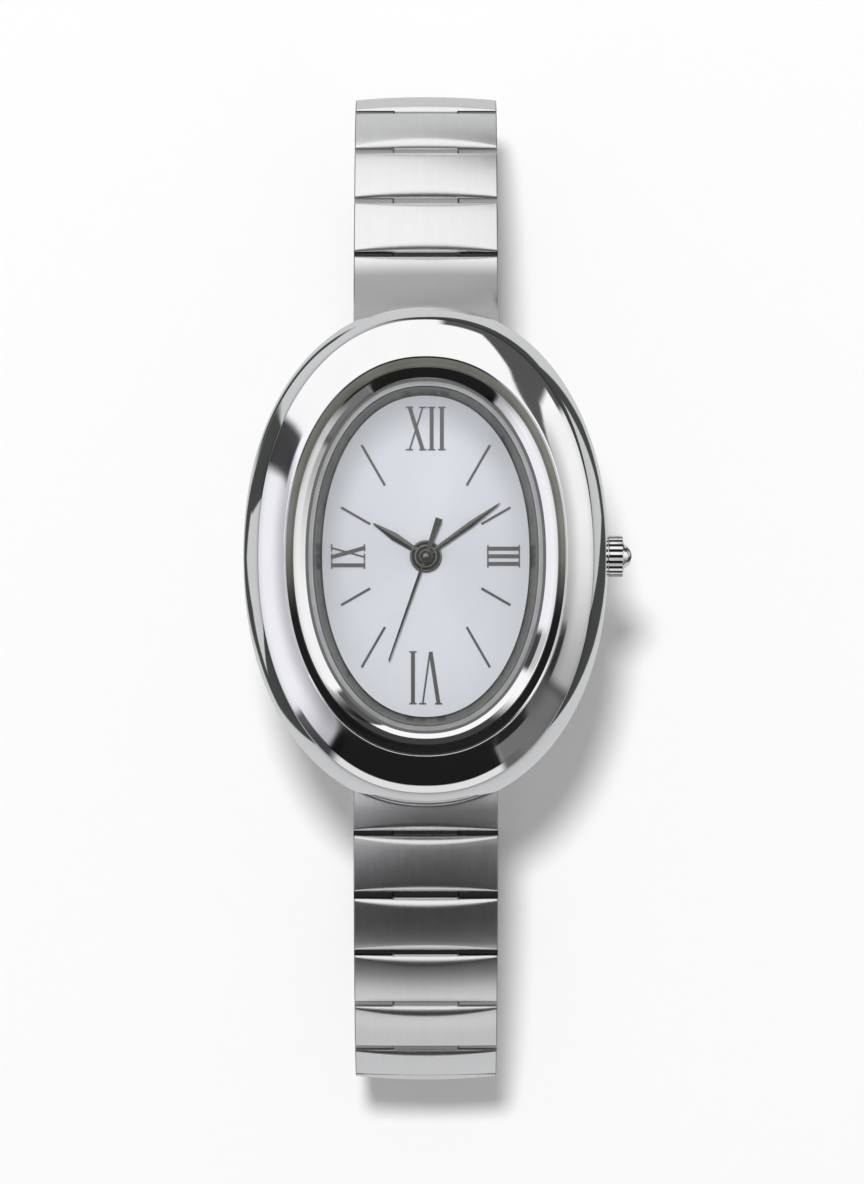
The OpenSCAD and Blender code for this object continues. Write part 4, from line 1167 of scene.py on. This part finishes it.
class WATCH_OT_bracelet(bpy.types.Operator):
    """Makes the brushed links and end pieces with their rolled lens ends, and the spring bars"""

    bl_idname = "watch.bracelet"
    bl_label = "Bracelet"

    def execute(self, context):
        for side in ("12", "6"):
            for count, (node, outer) in enumerate(self.outer_pins(side)):
                self.link(node, outer, count, FIRST_PALE_SEAM[side])
        bars = place_piece(merged("spring_bars"), "SpringBars", "spring_bars", ("bright_steel",), 35.0)
        round_edges(bars, 0.08)
        return {"FINISHED"}

    def link(self, node, outer, count, first_pale):
        """One link, or an end piece, which is the side's number 0."""
        turn, origin = link_frame(node, outer)
        length = (Vector(outer) - origin).length / MM
        ended = count == 0
        near = SEAM / 2
        far = high_along(node, turn, origin) if length < PITCH - 0.3 and not ended else length - near
        face = "link_face"
        # The end piece at 12 o'clock takes painted shade beside the case
        if node == "end_piece_12":
            face = "end_face"
            finish(face, lambda graph: brushed_steel(graph, far))
        name = node.replace("end_piece", "EndPiece").replace("link", "Link")
        # Brushed faces, then painted shade for seams, eased edges and paler seams
        finishes = (face, "link_barrel", "link_edge", "pale_barrel")
        piece = place_piece(merged(node), name, node, finishes, 30.0)
        envelope = link_envelope(near, far, not ended)
        bmesh.ops.transform(envelope, matrix=turn.transposed().to_4x4(), verts=envelope.verts)
        move(envelope, origin / MM)
        cut_with(piece, envelope, "INTERSECT")
        barrels = [PALE_BARREL if seam >= first_pale else BARREL for seam in (count, count + 1)]
        darken_barrels(piece, turn, origin, NO_SEAM if ended else near, far, *barrels)
        map_brushing(piece.data, turn, origin)
        piece.data.set_sharp_from_angle(angle=math.radians(LINK_SHARP))

    def outer_pins(self, side):
        """Each link of a side with the place of its outer pin, from the case outwards."""
        names = [f"end_piece_{side}"]
        while f"link_{side}_{len(names)}" in frame["nodes"]:
            names.append(f"link_{side}_{len(names)}")
        pins = [HINGES[name]["pos_m"] for name in names[1:]]
        if side == "12":
            pins.append(HINGES["clasp_inner_blade"]["pos_m"])
        else:
            pins.append((0, (low("clasp_cover")[1] + HOOK_R) * MM, HOOK_Z * MM))
        return zip(names, pins)


class WATCH_OT_clasp(bpy.types.Operator):
    """Makes the folding clasp's two blades and its cover"""

    bl_idname = "watch.clasp"
    bl_label = "Folding clasp"

    def execute(self, context):
        for node, name, ease in (
                ("clasp_cover", "ClaspCover", 0.09),
                ("clasp_inner_blade", "InnerBlade", 0.06),
                ("clasp_outer_blade", "OuterBlade", 0.06)):
            piece = place_piece(merged(node), name, node, ("link_face",), 32.0)
            map_brushing(piece.data, Matrix.Identity(3), Vector((0, 0, 0)))
            round_edges(piece, ease, 2, 28.0)
        return {"FINISHED"}


class WATCH_OT_back(bpy.types.Operator):
    """Makes the turned back cover and dresses its gasket"""

    bl_idname = "watch.back"
    bl_label = "Back cover"

    def execute(self, context):
        back = place_piece(merged("case_back"), "BackCover", "case_back", ("satin_back",), 32.0)
        round_edges(back, 0.08)
        dress("back_gasket")
        return {"FINISHED"}


class WATCH_OT_movement(bpy.types.Operator):
    """Gives the movement, stem and battery their finishes"""

    bl_idname = "watch.movement"
    bl_label = "Movement"

    def execute(self, context):
        for node in ("crown_stem", "crown_seal", "movement_ring", "main_plate", "train_bridge",
                     "bridge_screws", "circuit_board", "coil", "stator", "rotor", "fifth_wheel",
                     "second_wheel", "third_wheel", "centre_wheel", "minute_wheel", "hour_wheel",
                     "setting_wheel", "sliding_pinion", "setting_lever", "battery", "battery_clamp"):
            dress(node)
        return {"FINISHED"}


# Camera, straight above: the photograph's size in pixels, then the pixel where the watch's axis stands,
# heights in millimetres, and pixels per millimetre at the height of the band's top
PICTURE = (864, 1184)
AXIS_PIXEL = (425.8, 556.2)
AXIS_Z = 33.3
BAND_TOP = 31.4
BAND_SCALE = 14.55
CAMERA_Z = 440.0

# Stage
WHITE = rgba(grey(1.0))
FLOOR_HALF = 2.5
LAMP_PLACE = (-0.032, 0.12, 0.72)
LAMP_TARGET = (0, 0, 0.02)
LAMP_SIZE = 0.07
LAMP_POWER = 3.25
FILL = 0.4


class WATCH_OT_stage(bpy.types.Operator):
    """Sets the floor, the lamp, the surroundings and the camera"""

    bl_idname = "watch.stage"
    bl_label = "Stage"

    def execute(self, context):
        self.floor()
        self.lamp()
        self.surroundings(context.scene)
        self.camera(context.scene)
        context.scene.view_settings.view_transform = "Standard"
        return {"FINISHED"}

    def floor(self):
        bm = bmesh.new()
        bmesh.ops.create_grid(bm, x_segments=2, y_segments=2, size=FLOOR_HALF)
        mesh = bpy.data.meshes.new("Floor")
        bm.to_mesh(mesh)
        bm.free()
        floor = bpy.data.objects.new("Floor", mesh)
        bpy.context.scene.collection.objects.link(floor)
        mesh.materials.append(finish("floor_paper", self.paper))

    @staticmethod
    def paper(graph):
        """White paper, which metal mirrors as a painted grey, with painted dark strips beyond the watch that only
        reflections show.
        """
        x, y, z = graph.split(graph.object_mm())

        def past(value, limit):
            return (value - limit).most(0.0)

        def strip(value, inner, outer):
            """One between two edges that may slant, with a softer outer edge."""
            return graph.step(value - inner, -3.0, 3.0) * (1 - graph.step(value - outer, -3.0, 6.0))

        # Places and widths in millimetres. East of the watch, wider towards both ends
        inner = 35.0 + past(-y, 3.0) * 1.2 + past(y, 20.0) * 0.75
        outer = 52.0 + past(y, 14.0) * 1.1 + past(-y, -7.0) * 6.0
        east = strip(x, inner, outer) * graph.gate(y, -300.0, 120.0, 15.0)
        # West of the watch, out to the south and cut off at a slant, with a line on to the north
        away = y.absolute()
        inner = 24.0 + away.least(14.0) + past(-y, 25.0)
        outer = 40.0 + away.least(10.0) * 2.0 + past(-y, 26.0) * 6.0 + past(y, 8.0) * 6.0
        west = strip(-x, inner, outer) * (1 - graph.step(y + x * 0.45, 6.0, 12.0))
        line = graph.gate(-x, 27.0, 39.0, 2.0) * graph.gate(y, 13.0, 60.0, 4.0)
        west = west.most(line) * graph.gate(y, -300.0, 400.0, 15.0)
        # Far ahead, beyond 12 o'clock
        slant = x.most(0.0).least(65.0) * 2.4
        ahead = graph.step(y + slant, 225.0, 245.0) * graph.gate(x, -90.0, 2400.0, 60.0)
        # Painted reflections: only glossy rays see the grey paper and its dark strips
        dark = east.most(west).most(ahead)
        mirrored = graph.between(rgba((0.6, 0.605, 0.61)), rgba((0.06, 0.065, 0.06)), dark)
        graph.surface({
            "Base Color": graph.between(rgba(grey(0.98)), mirrored, graph.ray("Glossy")),
            "Roughness": 0.9,
            "Specular IOR Level": 0.0,
        })

    def lamp(self):
        light = bpy.data.lights.new("KeyLamp", "AREA")
        light.shape = "DISK"
        light.size = LAMP_SIZE
        light.energy = LAMP_POWER
        lamp = bpy.data.objects.new("KeyLamp", light)
        lamp.location = LAMP_PLACE
        aim = Vector(LAMP_TARGET) - Vector(LAMP_PLACE)
        lamp.rotation_euler = aim.to_track_quat("-Z", "Y").to_euler()
        lamp.visible_glossy = False
        bpy.context.scene.collection.objects.link(lamp)

    def surroundings(self, scene):
        """A white studio whose grey and dark parts only metal and glass show."""
        world = bpy.data.worlds.new("World")
        scene.world = world
        graph = Graph(world)
        x, y, z = graph.split(graph.node("ShaderNodeTexCoord", out="Generated"))
        # Degrees round from 12 o'clock, and degrees down from straight above
        way = x.math("ARCTAN2", x, y) * (180 / math.pi)
        down = z.math("ARCCOSINE", z) * (180 / math.pi)

        def off(middle):
            turned = way.math("FLOORED_MODULO", way - middle + 540.0, 360.0) - 180.0
            return turned.absolute()

        def within(middle, half, soft):
            return graph.below(off(middle), half, soft)

        def patch(middle, half, soft, start, end, fade):
            """One in a patch round a direction, between two angles down."""
            return within(middle, half, soft) * graph.gate(down, start, end, fade)

        # Grey sides, and the dark parts that the dome and the links mirror
        bell = graph.step(down, 4.0, 52.0) * (1 - graph.step(down, 70.0, 112.0))
        sides = within(94.0, 35.0, 6.0) + within(-102.0, 33.0, 5.0)
        black = within(185.0, 38.0, 1.5) * graph.step(down, 0.2, 1.2) * graph.below(down, 71.0, 1.5)
        dim = graph.step(way, 80.0, 113.0) * within(99.0, 19.0, 2.0)
        dusk = (1 - graph.step(way, -138.0, -116.0)) * within(-128.0, 14.0, 2.0)
        near = patch(139.0, 9.0, 2.0, 2.5, 26.0, 1.5)
        notch = patch(109.0, 7.0, 2.0, 6.0, 24.0, 3.0)
        spread = 8.5 + (down - 40.0).most(0.0) * 0.19
        slanted = graph.below(off(down * -0.22 + 55.0) - spread, 0.0, 1.5)
        right = slanted * graph.gate(down, 6.0, 105.0, 2.0)
        skyline = patch(33.0, 28.0, 2.0, 78.0, 92.0, 2.0)
        shade = 1 - sides * (0.44 - bell * 0.38)
        for mask, depth in (
                (black, 0.988),
                (patch(131.5, 16.0, 2.0, 2.5, 105.0, 1.5), 0.83),
                (near.most(notch), 0.9),
                (dim, 0.55),
                (right.most(skyline), 0.91),
                (patch(-69.0, 6.0, 1.5, 18.0, 150.0, 4.0), 0.94),
                (patch(185.0, 46.0, 4.0, 66.0, 92.0, 1.5), 0.22),
                (dusk, 0.5),
                (patch(-131.0, 9.0, 2.0, 68.0, 100.0, 2.0), 0.85)):
            shade = shade * (1 - mask * depth)
        tint = graph.between(WHITE, rgba((0.95, 0.95, 1.0)), within(-102.0, 40.0, 10.0))
        seen = graph.between(rgba(grey(0.0)), tint, shade)
        clear = graph.ray("Camera").most(graph.ray("Transmission"))
        mixed = graph.mix_shaders(graph.ray("Glossy"), graph.glow(WHITE, FILL), graph.glow(seen))
        mixed = graph.mix_shaders(clear, mixed, graph.glow(WHITE))
        graph.end(mixed, "ShaderNodeOutputWorld")

    def camera(self, scene):
        """Looks straight down from over the picture's middle, with the axis at its pixel."""
        width, height = PICTURE
        focal = BAND_SCALE * (CAMERA_Z - BAND_TOP)
        scale = focal / (CAMERA_Z - AXIS_Z)
        x = (width / 2 - AXIS_PIXEL[0]) / scale
        y = (AXIS_PIXEL[1] - height / 2) / scale
        data = bpy.data.cameras.new("Camera")
        data.sensor_fit = "VERTICAL"
        data.sensor_height = 24
        data.lens = focal / height * data.sensor_height
        data.clip_start = 0.01
        data.clip_end = 20
        eye = bpy.data.objects.new("Camera", data)
        eye.location = (x * MM, y * MM, CAMERA_Z * MM)
        scene.collection.objects.link(eye)
        scene.camera = eye


class WATCH_PT_panel(bpy.types.Panel):
    """Lists the watch's operators and sizes"""

    bl_idname = "WATCH_PT_panel"
    bl_label = "Watch"
    bl_space_type = "VIEW_3D"
    bl_region_type = "UI"
    bl_category = "Watch"

    def draw(self, context):
        layout = self.layout
        scene = context.scene
        for group in (scene.watch_case, scene.watch_hands, scene.watch_finishes):
            column = layout.column(align=True)
            for name in group.__annotations__:
                column.prop(group, name)
        for operator in OPERATORS:
            layout.operator(operator.bl_idname)


GROUPS = (WatchCaseSizes, WatchHandSizes, WatchFinishes)
OPERATORS = (WATCH_OT_stage, WATCH_OT_case, WATCH_OT_crystal, WATCH_OT_dial, WATCH_OT_hands,
             WATCH_OT_crown, WATCH_OT_bracelet, WATCH_OT_clasp, WATCH_OT_back, WATCH_OT_movement)
CLASSES = GROUPS + OPERATORS + (WATCH_PT_panel,)


def register():
    for item in CLASSES:
        bpy.utils.register_class(item)
    bpy.types.Scene.watch_case = bpy.props.PointerProperty(type=WatchCaseSizes)
    bpy.types.Scene.watch_hands = bpy.props.PointerProperty(type=WatchHandSizes)
    bpy.types.Scene.watch_finishes = bpy.props.PointerProperty(type=WatchFinishes)


def unregister():
    del bpy.types.Scene.watch_finishes
    del bpy.types.Scene.watch_hands
    del bpy.types.Scene.watch_case
    for item in reversed(CLASSES):
        bpy.utils.unregister_class(item)


def main():
    register()
    bpy.ops.watch.stage()
    bpy.ops.watch.case()
    bpy.ops.watch.crystal()
    bpy.ops.watch.dial()
    bpy.ops.watch.hands()
    bpy.ops.watch.crown()
    bpy.ops.watch.bracelet()
    bpy.ops.watch.clasp()
    bpy.ops.watch.back()
    bpy.ops.watch.movement()


if __name__ == "__main__":
    main()
